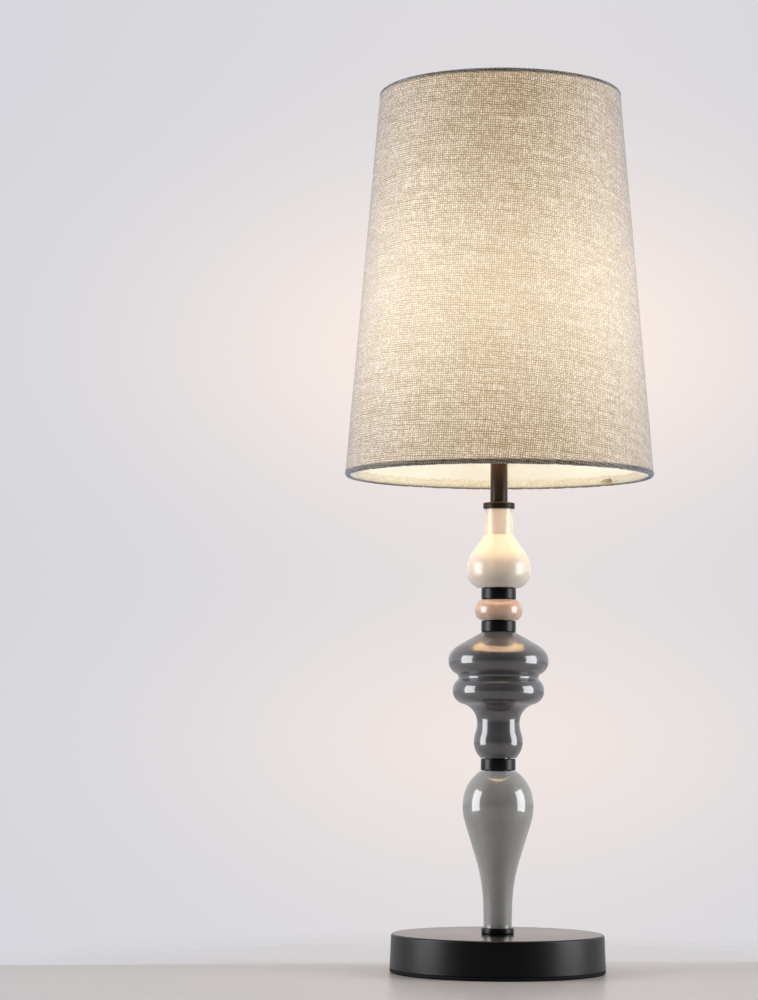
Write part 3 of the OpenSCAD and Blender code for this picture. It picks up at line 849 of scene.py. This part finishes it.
def map_weave(mesh):
    """Turns the map of turns and rows into the map of the flat cut, in metres."""
    rows = 2 * len(path)
    layer = mesh.uv_layers["turn_and_row"]
    layer.name = "weave"
    for corner in layer.data:
        row = round(corner.uv.y * rows) % rows
        step = row if row < len(path) else rows - 1 - row
        from_tip = tip_to_rim - (lengths[step] - lengths[rim_step])
        angle = (corner.uv.x - 0.5) * math.tau * math.sin(slope)
        corner.uv = (from_tip * math.sin(angle) * MM, from_tip * math.cos(angle) * MM)


def waves(angle, waviness, height):
    """Smooth noise round the lamp."""
    return noise.noise(Vector((math.cos(angle) * waviness, math.sin(angle) * waviness, height)))


def wander(mesh, overlap=0.0):
    """Moves a wall's points in and out a little, and lifts the overlap of its seam."""
    for vertex in mesh.vertices:
        x, y, z = vertex.co
        reach, angle = math.hypot(x, y), math.atan2(y, x)
        depth = bottom_rim_r - (z / MM - shade_low) * math.tan(slope) - reach / MM
        past_seam = ((angle - SEAM) % math.tau) * reach / MM
        lift = 0.0
        if past_seam < OVERLAP and depth < LINEN:
            lift = overlap * (1 - past_seam / OVERLAP) ** 0.5 * (1 - max(0, depth) / LINEN)
        grown = 1 + (waves(angle, SLOW, z * 9) * WANDER + lift) * MM / reach
        sag = max(0, 1 - abs(z / MM - shade_low) / RIM_REACH) if overlap else 0
        lumps = abs(waves(angle, LUMPY, 5)) * sag * RIM_LUMPS * MM
        vertex.co = (x * grown, y * grown, z + lumps)


fabric_mesh = turned(thickened(path, LINEN), linen, 320, seam=SEAM)
map_weave(fabric_mesh)
wander(fabric_mesh, overlap=LINEN)
fabric = seat("linen", fabric_mesh, "shade_fabric")

# %% [markdown]
# ## Liner
#
# The liner is a cream plastic film, printed to look like paper. It is what throws the light
# about inside, so it is pale and only a little glossy, with a faint mottle and the soft ripple
# of a film that was rolled up before it was used.

# %% The liner
made, mottle = clouded("cream_liner", "#f5f1e9", "#efeade", 3,
                       roughness=0.5, ior=1.45, specular_ior_level=0.4)
film = made.relief(made.noise(18) * 0.8 + mottle * 0.2, 0.12)
liner_low, liner_high = in_wall(2 * HEM_R, LINEN), in_wall(slant - 2 * HEM_R, LINEN)
outer_run = [liner_low, *evenly(liner_low, liner_high, COARSE), liner_high]
inner_run = [(r - LINER * math.cos(slope), z - LINER * math.sin(slope)) for r, z in outer_run]
liner_mesh = turned(outer_run + inner_run[::-1], film, 320, seam=SEAM)
wander(liner_mesh)
seat("liner", liner_mesh, "shade_liner")

# %% [markdown]
# ## Frayed edges
#
# The raw edges of the turned-in linen end in short yarns that stick out of the glue at odd
# angles. Hundreds of small hairs that follow a circle are a job for instances: the tree puts
# points round the edge, and on each point one bent yarn with its own length and lean. The same
# tree, on a tiny circle, makes the tuft of loose threads where the overlap ends at the rim.

# %% The fray tree
STREWN = 0.2 * MM        # how far a yarn may stand off the circle
BEND = 0.35              # how far a yarn's tip is bent aside, for a length of 1


def make_fray_tree():
    tree, node, given = new_tree(
        "fray", edge="Geometry", yarns="Int", edge_radius="Float", edge_height="Float",
        yarn_length="Float", yarn_radius="Float", seed="Int", finish="Material")
    ring = node("MeshCircle", {"Vertices": given.yarns, "Radius": given.edge_radius})
    index = node("InputIndex")

    def chance(low, high, offset):
        return node("RandomValue", {
            "Min": low, "Max": high, "ID": index, "Seed": given.seed + offset,
        }, data_type="FLOAT")

    def vector(x, y, z):
        return node("CombineXYZ", {0: x, 1: y, 2: z})

    strewn = vector(chance(-STREWN, STREWN, 1), chance(-STREWN, STREWN, 2), given.edge_height)
    points = node("SetPosition", {"Geometry": ring, "Offset": strewn})
    line = node("CurvePrimitiveLine", {"Start": (0, 0, 0), "End": (0, 0, 1)})
    steps = node("ResampleCurve", {"Curve": line, "Count": 5})
    along = node("SplineParameter")
    bent = node("SetPosition", {
        "Geometry": steps, "Offset": vector(along * along * BEND, 0.0, 0.0)})
    profile = node("CurvePrimitiveCircle", {
        "Resolution": 5, "Radius": given.yarn_radius / given.yarn_length})
    yarn = node("CurveToMesh", {"Curve": bent, "Profile Curve": profile, "Fill Caps": True})
    lean = vector(chance(-0.5, 0.5, 3), chance(-0.35, 0.35, 4), chance(0.0, math.tau, 5))
    copies = node("InstanceOnPoints", {
        "Points": points, "Instance": yarn, "Rotation": node("EulerToRotation", {"Euler": lean}),
        "Scale": chance(0.3, 1.0, 6) * given.yarn_length})
    return end_tree(tree, copies, given.finish)


fray = make_fray_tree()


def frayed(finish, yarns, edge_r, edge_z, length, thickness, seed):
    """Loose yarns round a circle, all of them leaning upward."""
    return run_tree(
        fray, bpy.data.meshes.new("yarns"), yarns=yarns, edge_radius=edge_r * MM,
        edge_height=edge_z * MM, yarn_length=length * MM, yarn_radius=thickness * MM, seed=seed,
        finish=finish)


# %% Fray both edges
HALF_TURN = Matrix.Rotation(math.pi, 4, "X")
yarns = plain_finish("linen_yarn", "#b0a897", "#d5ccb6", 4, 0.3, 0.05,
                     roughness=0.9, ior=1.45, specular_ior_level=0.2)
low_hairs = frayed(yarns, 560, *path[0], 1.9, 0.16, seed=3)
seat("frayed_edge_low", low_hairs, "shade_fabric")
high_hairs = frayed(yarns, 560, path[-1][0], -path[-1][1], 1.9, 0.16, seed=8)
high_hairs.transform(HALF_TURN)
seat("frayed_edge_high", high_hairs, "shade_fabric")

# %% The tuft where the overlap ends
TUFT_UP = 3.6            # height of the tuft above the bottom rim
TUFT_IN = 1.0            # how far it stands off the turned-in linen
loose_ends = plain_finish("loose_threads", "#76664a", "#d4c296", 1.5, 0.3, 0.05,
                          roughness=0.9, ior=1.45, specular_ior_level=0.2)
tuft = frayed(loose_ends, 150, 1.0, 0.0, 2.9, 0.13, seed=21)
inner_r = path[0][0] + (path[0][1] - shade_low - TUFT_UP) * math.tan(slope)
end_of_overlap = SEAM - OVERLAP / 2 / bottom_rim_r
tuft.transform(
    Matrix.Rotation(end_of_overlap, 4, "Z")
    @ Matrix.Translation(((inner_r - TUFT_IN) * MM, 0, (shade_low + TUFT_UP) * MM))
    @ Matrix.Diagonal((1.0, 4.3, 1.3, 1.0))
    @ Matrix.Rotation(math.radians(-95), 4, "Y"))
seat("loose_threads", tuft, "shade_fabric")
print("The tuft sits", round(math.degrees(end_of_overlap)), "degrees round the rim")

# %% [markdown]
# ## Wire rings and fitter
#
# The rings in the hems and the three-armed fitter are round steel wire with a white powder coat.
# The arms start flat under the fitter's ring, turn down at a knee, and run straight to the bottom
# wire. A third small tree makes a tube along a path and rounds its corners, and a fourth repeats
# anything round the lamp's axis.

# %% Tube along a path, and copies round the axis
def make_tube_tree():
    tree, node, given = new_tree(
        "tube", path="Geometry", tube_radius="Float", bend_radius="Float", finish="Material")
    curve = node("MeshToCurve", {0: given.path})
    bent = node("FilletCurve", {
        "Curve": curve, "Radius": given.bend_radius, "Limit Radius": True, "Count": 10,
    }, mode="POLY")
    profile = node("CurvePrimitiveCircle", {"Resolution": 20, "Radius": given.tube_radius})
    tube = node("CurveToMesh", {"Curve": bent, "Profile Curve": profile, "Fill Caps": True})
    return end_tree(tree, tube, given.finish)


def make_wreath_tree():
    tree, node, given = new_tree(
        "wreath", item="Geometry", copies="Int", start_angle="Float", finish="Material")
    centre = node("MeshLine", {
        "Count": given.copies, "Start Location": (0, 0, 0), "Offset": (0, 0, 0)})
    turn = node("InputIndex") / given.copies * math.tau + given.start_angle
    euler = node("CombineXYZ", {0: 0.0, 1: 0.0, 2: turn})
    copies = node("InstanceOnPoints", {
        "Points": centre, "Instance": given.item,
        "Rotation": node("EulerToRotation", {"Euler": euler})})
    return end_tree(tree, copies, given.finish)


tube_tree, wreath = make_tube_tree(), make_wreath_tree()


def tube(points, tube_r, bend_r, finish):
    """A round bar through points in millimetres, with its corners bent."""
    mesh = bpy.data.meshes.new("path")
    places = [tuple(c * MM for c in p) for p in points]
    mesh.from_pydata(places, [(i, i + 1) for i in range(len(points) - 1)], [])
    return run_tree(
        tube_tree, mesh, tube_radius=tube_r * MM, bend_radius=bend_r * MM, finish=finish)


def with_copies(whole, item, copies, start, finish):
    """One mesh from a turned one and the copies of an item round the lamp's axis."""
    around = run_tree(wreath, item, copies=copies, start_angle=start, finish=finish)
    both = bmesh.new()
    both.from_mesh(whole)
    both.from_mesh(around)
    result = bpy.data.meshes.new("joined")
    both.to_mesh(result)
    both.free()
    result.materials.append(finish)
    return result


# %% White wire
white_wire = plain_finish("white_powder_coat", "#e4e3df", "#d6d5d0", 14, 0.8, 0.02,
                          roughness=0.42, ior=1.5, specular_ior_level=0.45)
for name, wire_ring_r, wire_z in (
    ("bottom_wire", bottom_wire_r, bottom_wire_z), ("top_wire", top_wire_r, top_wire_z),
):
    section = arc((wire_ring_r, wire_z, WIRE_R), 0, math.tau)[:-1][::6]
    seat(name, turned(section, white_wire, 200), "shade_" + name)

# %% The fitter
ARMS = 3
ARM_SEAT_R, ARM_KNEE_R = 24.6, 36.0   # where an arm starts under the ring, and where it bends
ARM_BEND = 7             # radius of the bend
FOOT_IN, FOOT_UP = 1.5, 1.4   # where an arm ends, from the middle of the bottom wire
WELD = 0.4               # how far an arm is sunk into the ring
RING_R, RING_BORE_R = 27.5, 20.5
RING_T = 1.2
ring_top = heights("shade_fitter")[1]
ring_low = ring_top - RING_T
arm_z = ring_low - WIRE_R + WELD
arm = tube([(ARM_SEAT_R, 0, arm_z), (ARM_KNEE_R, 0, arm_z),
            (bottom_wire_r - FOOT_IN, 0, bottom_wire_z + FOOT_UP)], WIRE_R, ARM_BEND, white_wire)
ring = turned(eased_ring(RING_BORE_R, RING_R, ring_low, ring_top, 0.35), white_wire, 96)
seat("fitter", with_copies(ring, arm, ARMS, QUARTER, white_wire), "shade_fitter")

# %% [markdown]
# ## Holder and clamp ring
#
# The lamp holder is black moulded thermoplastic: a domed cap on the riser, and a threaded skirt
# with a flange under the fitter. The clamp ring screws down on the skirt and holds the fitter. It
# has ribs round its collar for the fingers. Moulded plastic is a little glossy, with a fine
# spark texture from the mould.

# %% Moulded black plastic
made, cloud = clouded("moulded_black", "#101011", "#18181a", 16, 2.0,
                      ior=1.5, specular_ior_level=0.5)
spark = made.noise(0.6)
made.set("roughness", 0.34 + spark * 0.12)
black_plastic = made.relief(spark, 0.02)

# %% Holder cap
CAP_BOSS_R, CAP_BOSS = 9.0, 3.5   # radius and height of the boss under the dome
DOME_R, DOME_Z = 6.0, 10.5
HOLDER_WALL = 2.6
SOCKET = 9               # depth of the hollow above the rod
low, high = heights("holder_cap")
holder_r = radius("holder_cap")
inner_r = holder_r - HOLDER_WALL
outer = [(CAP_BOSS_R, 0, 0), (CAP_BOSS_R, CAP_BOSS, 0), (holder_r - DOME_R, DOME_Z, DOME_R),
         (holder_r, high - low, 0)]
section = [(ROD_BORE, low), *raised(chain_outline(outer, 0, high - low), low), (inner_r, high),
           (inner_r, high - SOCKET), (ROD_BORE, high - SOCKET)]
seat("holder_cap_skin", turned(section, black_plastic, 96), "holder_cap")

# %% Holder body, with its thread above the flange
FLANGE_T = 2.5
THREAD_DEPTH, THREAD_PITCH = 1.1, 2.8
THREAD_STEP = 0.35       # height of a step of the skin along the thread
CHAMFER = 1
body_low, body_high = heights("holder_body")
skirt_foot, skirt_top = (holder_r, ring_low + 0.3), (holder_r, body_high - CHAMFER)
section = [
    (inner_r, body_low), (holder_r, body_low), (holder_r, ring_low - FLANGE_T),
    *eased_edge(radius("holder_body"), ring_low - FLANGE_T, ring_low, 0.5),
    skirt_foot, *evenly(skirt_foot, skirt_top, THREAD_STEP), skirt_top,
    (holder_r - CHAMFER, body_high), (inner_r, body_high),
]
skin = turned(section, black_plastic, 128,
              thread=(THREAD_DEPTH, THREAD_PITCH, ring_low + 1, body_high - CHAMFER))
seat("holder_body_skin", skin, "holder_body")

# %% Clamp ring with its ribs
RIBS = 20
RIB_R = 0.9
CLAMP_FLANGE = 2.2       # thickness of its flange
COLLAR = 3.2             # how far its collar stands off the holder
PLAY = 0.3               # play between its bore and the holder
clamp_low, clamp_high = heights("shade_ring")
collar_r = holder_r + COLLAR
section = [
    *eased_edge(radius("shade_ring"), clamp_low, clamp_low + CLAMP_FLANGE, 0.5),
    (collar_r, clamp_low + CLAMP_FLANGE),
    *arc((collar_r - 0.6, clamp_high - 0.6, 0.6), 0, QUARTER),
    (holder_r + PLAY, clamp_high), (holder_r + PLAY, clamp_low),
]
collar = turned(section, black_plastic, 128)
rib = tube([(collar_r, 0, clamp_low + 2), (collar_r, 0, clamp_high - 1.2)], RIB_R, 0,
           black_plastic)
seat("clamp_ring_skin", with_copies(collar, rib, RIBS, 0.0, black_plastic), "shade_ring")

# %% [markdown]
# ## Bulb
#
# A globe bulb: a nickel-plated screw cap, a white housing that flares to the globe, and an opal
# globe that glows. The globe really lights the inside of the shade: the liner and the fitter get
# their warm light from it.

# %% Bulb finishes
made = Finish("opal_glass", roughness=0.3, ior=1.5, base_color=tint("#fbf6ea"),
              emission_strength=19.5)
cloud = made.noise(9)
made.set("emission_color", made.mix(cloud, (1.0, 0.98, 0.93), (1.0, 0.99, 0.95)))
opal_glass = made.relief(cloud, 0.02)

made, cloud = clouded("nickel_plate", "#c9c8c4", "#b3b1ab", 5, metallic=1.0)
made.set("roughness", 0.2 + cloud * 0.16)
nickel_plate = made.relief(made.noise(0.5, 1.0, stretch=(0.05, 0.05, 1)), 0.01)

bulb_white = plain_finish("white_housing", "#efeeea", "#e6e4de", 12, 0.7, 0.015,
                          roughness=0.35, ior=1.48, specular_ior_level=0.45)

# %% Globe, housing and cap
GLOBE_T = 1.2            # wall of the globe
globe_low, globe_high = heights("bulb_globe")
globe_r = radius("bulb_globe")
globe_z = globe_high - globe_r
outside, inside = (
    arc((0, globe_z, r), math.asin((globe_low - globe_z) / r), QUARTER)
    for r in (globe_r, globe_r - GLOBE_T))
section = outside[::3] + [(0, globe_high)] + inside[::-1][::3]
seat("globe", turned(section, opal_glass, 96), "bulb_globe")

FLARE = [(14.2, 0, 0), (14.2, 4, 0), (60, 8, -44)]   # the housing's outline up to its rim
HOUSING_RIM_R = 21.6
RECESS_R, RECESS = 19.8, 1.6   # the shallow recess in its top, under the globe
low, high = heights("bulb_housing")
outer = [*FLARE, (HOUSING_RIM_R, high - low, 0)]
section = [*raised(chain_outline(outer, 0, high - low), low), (RECESS_R, high),
           (RECESS_R, high - RECESS), (0, high - RECESS), (0, low)]
seat("housing", turned(section, bulb_white, 96), "bulb_housing")

SCREW_PITCH = 3.6
CAP_THREAD = 1.6         # depth of the cap's thread
CAP_TIP_R, CAP_SLOPE = 10.5, 3   # the cap's lower end, and how high it widens
SCREW_STEP = 0.4         # height of a step of the skin along these threads
low, high = heights("bulb_cap")
shoulder, rim = (radius("bulb_cap"), low + CAP_SLOPE), (radius("bulb_cap"), high)
section = [(0, low), (CAP_TIP_R, low), shoulder, *evenly(shoulder, rim, SCREW_STEP), rim,
           (0, high)]
cap = turned(section, nickel_plate, 96, thread=(CAP_THREAD, SCREW_PITCH, low + 2, high - 2.5))
seat("screw_cap", cap, "bulb_cap")

# %% [markdown]
# ## The holder's shell
#
# The shell that the bulb screws into is thin brass, rolled with the same thread as the bulb's
# cap. Its foot turns in over the ceramic seat and its lip rolls outward. The thread is cut into
# both faces while the shell is turned, so the sheet keeps its thickness.

# %% Brass, and the threaded shell
brass = plain_finish("struck_brass", "#b59a5c", "#9c8148", 6, 0.5, 0.012,
                     metallic=1.0, roughness=0.3)
SHELL_T = 0.4
SHELL_FOOT = 2.4         # width of the foot
SHELL_LIP = 0.55         # width of the lip
SHELL_THREAD = 0.5       # depth of the thread
low, high = heights("screw_shell")
lip_r = radius("screw_shell")
wall_r = lip_r - SHELL_LIP
out_low, out_high = (wall_r, low), (wall_r, high - SHELL_T)
in_low, in_high = (wall_r - SHELL_T, low + SHELL_T), (wall_r - SHELL_T, high)
section = [
    (wall_r - SHELL_FOOT, low), out_low, *evenly(out_low, out_high, SCREW_STEP), out_high,
    (lip_r, high - SHELL_T), (lip_r, high),
    in_high, *evenly(in_high, in_low, SCREW_STEP), in_low, (wall_r - SHELL_FOOT, low + SHELL_T),
]
shell = turned(section, brass, 96, thread=(SHELL_THREAD, SCREW_PITCH, low + 1, high - 1.5))
seat("threaded_shell", shell, "screw_shell")

# %% [markdown]
# ## Inlet bush
#
# At the back of the base a soft rubber bush lines the hole where a cord goes in. It is turned
# about its own axis and then laid on its side: a soft flange outside, a neck in the hole, and a
# barb that snaps in behind the sheet.

# %% The bush
BUSH_FLANGE = 1.6        # thickness of its flange and its barb
BUSH_BORE_R = 3.5
NECK_R = 4.85
BARB = 0.9
SOFT = 0.7               # softness of its edges
bush_in, bush_out = (corner.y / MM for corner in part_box("cord_bush"))
bush_r = radius("cord_bush")
section = [
    (BUSH_BORE_R, bush_in), (NECK_R, bush_in), (NECK_R + BARB, bush_in + BUSH_FLANGE),
    (NECK_R, bush_in + BUSH_FLANGE), (NECK_R, bush_out - BUSH_FLANGE),
    (bush_r, bush_out - BUSH_FLANGE),
    *arc((bush_r - SOFT, bush_out - SOFT, SOFT), 0, QUARTER),
    *arc((BUSH_BORE_R + SOFT, bush_out - SOFT, SOFT), QUARTER, math.pi),
]
rubber = plain_finish("bush_rubber", "#111113", "#1b1b1d", 5, 0.5, 0.03,
                      roughness=0.62, ior=1.5, specular_ior_level=0.4)
bush = turned(section, rubber, 96)
bush.transform(Matrix.Translation((0, 0, inlet_z * MM)) @ Matrix.Rotation(-QUARTER, 4, "X"))
seat("bush", bush, "cord_bush")

# %% [markdown]
# ## Pieces whose solid is right as it is
#
# The weight, the rod with its nut and washers, the seat washers, and the contacts and insulators
# of holder and bulb are plain turned or cut shapes. Their CAD solids stay, and each gets the
# finish of its material. The rod's thread is too fine to model along its whole length: it is a
# ridge that climbs once round for each millimetre, drawn as a bump.

# %% Threaded rod
ROD_PITCH = 1.0


def threaded_steel():
    made, cloud = clouded("threaded_steel", "#b9b6ad", "#94918a", 8, metallic=1.0)
    made.set("roughness", 0.3 + cloud * 0.12)
    x, y, z = made.place.parts()
    turn = y.do("ARCTAN2", x) / math.tau
    ridge = ((z / (ROD_PITCH * MM) - turn) * math.tau).do("COSINE")
    rod_r = radius("threaded_rod")
    outside = off_axis(x, y).between((rod_r - 0.4) * MM, (rod_r - 0.2) * MM)
    return made.relief(ridge * outside + cloud * 0.1, 0.25)


# %% Give each kept solid its finish
KEPT = {
    "threaded_rod": threaded_steel(),
    "rod_washer rod_nut spring_washer terminal_screws": plain_finish(
        "zinc_plate", "#b4b5b6", "#96989b", 5, 0.6, 0.01, metallic=1.0, roughness=0.34),
    "centre_contact side_contact": brass,
    "base_weight": plain_finish(
        "cast_iron", "#35332f", "#23211f", 14, 1.4, 0.25, roughness=0.72, metallic=0.25),
    "seat_washers": plain_finish(
        "clear_plastic", "#d9dbda", "#cdd0cf", 9, 0.8, 0.01,
        roughness=0.2, ior=1.49, transmission_weight=0.85),
    "holder_insert": plain_finish(
        "white_ceramic", "#e9e6de", "#dcd8ce", 7, 0.7, 0.04, roughness=0.45, ior=1.55),
    "bulb_insulator": plain_finish(
        "black_glass", "#0b0b10", "#15151c", 6, 1.5, 0.01, roughness=0.12, ior=1.52),
    "bulb_contact": plain_finish(
        "soft_solder", "#b7b5b0", "#9d9b96", 3, 0.8, 0.05, roughness=0.38, metallic=1.0),
    "light_board": plain_finish(
        "board_white", "#dfe1e0", "#d0d2d2", 5, 0.4, 0.015, roughness=0.5, ior=1.5),
}
for names, finish in KEPT.items():
    for node in names.split():
        for slot in frame["nodes"][node].material_slots:
            slot.material = finish
        print(node, "gets", finish.name)

# %% [markdown]
# ## Camera
#
# A product shot of a tall lamp is taken from far off with a long lens, so that the rims of the
# shade and the base are shallow ovals and the stack stays upright. This camera stands at the
# height of the middle body and looks up a little, which shows the inside of the shade.

# %% Camera
AWAY, UP = 2.346, 0.196  # in metres
LOOKS_UP, LEANS, TURNS = 4.45, -0.36, 2.346   # in degrees
camera_data = bpy.data.cameras.new("camera")
camera_data.sensor_width = 36
camera_data.lens = 104.5
camera_data.clip_start, camera_data.clip_end = 0.05, 60
camera = in_scene("camera", camera_data)
camera.location = (0, -AWAY, UP)
camera.rotation_euler = [math.radians(a) for a in (90 + LOOKS_UP, LEANS, TURNS)]
bpy.context.scene.camera = camera
print("The camera is", round(AWAY, 2), "m from the lamp")

# %% [markdown]
# ## Room
#
# The lamp stands before a pale wall in a room whose front half is dark, and that is what makes
# the glaze look like glaze: bright edges, where it reflects the wall behind, and a dark middle,
# where it reflects the dark side. The wall is the world's colour. It is warmed where the light
# leaves the shade above and below. For the camera the wall goes all the way round, and for light
# and reflections it ends at the sides.

# %% The wall, all round and as the light sees it
WALL_COLOUR = (0.665, 0.672, 0.715)
WARMTH = (0.30, 0.17, 0.07)   # what the shade's light adds to it
ABOVE, BELOW = (0.13, 0.055), (-0.005, 0.045)   # middle and width of its two warm patches
ASIDE = 0.11             # how wide they are
DARK_SIDE = 0.015        # how bright the front half is, beside the wall
world = bpy.data.worlds.new("room")
bpy.context.scene.world = world
world.use_nodes = True
room = world.node_tree
room.nodes.clear()
across, away, upward = add_node(room, "TexCoord", take="Generated").parts()


def bell(value, middle, width):
    """1 at the middle, and falling off softly on both sides."""
    off = (value - middle) / width
    return (off * off * -1).do("EXPONENT")


patches = bell(upward, *ABOVE) * 0.9 + bell(upward, *BELOW) * 0.5 + 0.2
glow = away.between(0.2, 0.8) * bell(across, 0.0, ASIDE) * patches
warm = tuple(a + b for a, b in zip(WALL_COLOUR, WARMTH))
warmed = add_node(room, "Mix", {0: glow, 1: WALL_COLOUR, 2: warm}, data_type="RGBA")
reach_of_wall = away.between(-0.65, 0.25) * (1 - DARK_SIDE) + DARK_SIDE
level = add_node(room, "LightPath", take="Is Camera Ray").do("MAXIMUM", reach_of_wall)
light_of_room = add_node(room, "Background", {"Color": warmed * level, "Strength": 1.0})
add_node(room, "OutputWorld", {"Surface": light_of_room})
print("The wall is", WALL_COLOUR, "where the lamp doesn't warm it")

# %% [markdown]
# ## Table
#
# The lamp stands on a pale satin table top that ends just behind it. Near the lamp the table is
# lit and keeps the shadow and the blurred reflection of the base. Farther off it fades into the
# wall, for the camera only, so that no line shows where it ends.

# %% Table top
SIZE = 6.0
EDGE, EDGE_END = 0.094, 0.099   # how far behind the lamp the table's lit part ends
EDGE_SLANT = 0.18        # the edge isn't quite square to the camera
NEAR_FADE, FAR_FADE = (0.16, 0.5), (0.5, 1.4)   # where it fades behind the edge, and all round
floor_mesh = bpy.data.meshes.new("table_top")
corners = [(-SIZE, -SIZE, 0), (SIZE, -SIZE, 0), (SIZE, SIZE, 0), (-SIZE, SIZE, 0)]
floor_mesh.from_pydata(corners, [], [(0, 1, 2, 3)])
floor = in_scene("table_top", floor_mesh)

top = Finish("table_top", roughness=0.32, ior=1.45, specular_ior_level=0.5)
x, y, _ = top.place.parts()
past_edge = (y - x * EDGE_SLANT).between(EDGE, EDGE_END)
shade_of_top = top.mix(top.noise(90), "#aeaaa7", "#b3afac")
top.set("base_color", top.mix(past_edge, shade_of_top, "#bebdbe"))
top.relief(top.noise(1.2), 0.01)
away_from_lamp = off_axis(x, y)
fade = away_from_lamp.between(*NEAR_FADE) * past_edge
faded = fade.do("MAXIMUM", away_from_lamp.between(*FAR_FADE))
gone = faded * top.node("LightPath", take="Is Camera Ray")
blend = top.node("MixShader", {
    0: gone, 1: Field(top.tree, top.shader.outputs[0]), 2: top.node("BsdfTransparent")})
top.tree.links.new(blend.socket, top.tree.nodes["Material Output"].inputs["Surface"])
floor_mesh.materials.append(top.material)

# %% [markdown]
# ## Lamps
#
# Two tall softboxes stand left and right, a little in front of the lamp. Their light comes from
# the sides, so the turned forms read as round. A white wall in full light has a brightness of
# about 1. What a glossy glaze shows of such a lamp is another matter: it should be a small crisp
# window on each flank. So the tall boxes are kept out of reflections, and a lower and nearer
# pair is there for reflections alone. That pair doesn't reach the table, which would show it as
# two bright patches. Under the shade two discs of warm light do the work of the shade's mouth.
# One gives light, for the bulb's light falls out of the shade on the white vase. The other is
# only reflected, and is the amber ellipse in the glazes below.

# %% Lamps
def place_lamp(name, shape, size, brightness, colour, place, turn):
    """An area lamp of an even brightness."""
    lamp = bpy.data.lights.new(name, "AREA")
    lamp.shape = shape
    lamp.size, lamp.size_y = size
    area = size[0] * size[1] * (1 if shape == "RECTANGLE" else math.pi / 4)
    lamp.energy = brightness * math.pi * area
    lamp.color = colour
    holder = in_scene(name, lamp)
    holder.location = place
    holder.rotation_euler = turn
    holder.visible_camera = False
    print(name, "gives", round(lamp.energy, 2), "W")
    return holder


def flank_lamp(name, side, turned_by, size, brightness, colour, away, height, tilt):
    """A light left or right of the lamp, so many degrees round from the front, facing it."""
    angle = math.radians(turned_by)
    return place_lamp(
        name, "RECTANGLE", size, brightness, colour,
        (side * away * math.sin(angle), -away * math.cos(angle), height),
        (math.radians(tilt), 0, side * angle))


BOX = dict(size=(0.84, 1.9), brightness=6.5, colour=(1, 1, 1), away=1.6, height=0.92, tilt=82)
WINDOW = dict(size=(0.45, 0.62), brightness=5.2, colour=(0.95, 0.97, 1), away=0.8,
              height=0.311, tilt=90)
all_but_table = bpy.data.collections.new("all_but_table")
all_but_table.objects.link(floor)
all_but_table.collection_objects[0].light_linking.link_state = "EXCLUDE"
for side, which, turned_by in ((-1, "left", 77), (1, "right", 81)):
    flank_lamp("softbox_" + which, side, turned_by, **BOX).visible_glossy = False
    window = flank_lamp("window_" + which, side, turned_by, **WINDOW)
    window.visible_diffuse = False
    window.light_linking.receiver_collection = all_but_table

MOUTH_D = 0.225          # in metres
for name, brightness, colour, up in (
    ("mouth_of_shade", 1.3, (1.0, 0.59, 0.32), -1.5),
    ("glow_of_mouth", 3.0, (1.0, 0.48, 0.12), 17),
):
    mouth = place_lamp(name, "DISK", (MOUTH_D, MOUTH_D), brightness, colour,
                       (0, 0, (shade_low + up) * MM), (0, 0, 0))
    mouth.visible_glossy = name == "glow_of_mouth"
    mouth.visible_diffuse = name == "mouth_of_shade"
bpy.context.scene.view_settings.view_transform = "Standard"
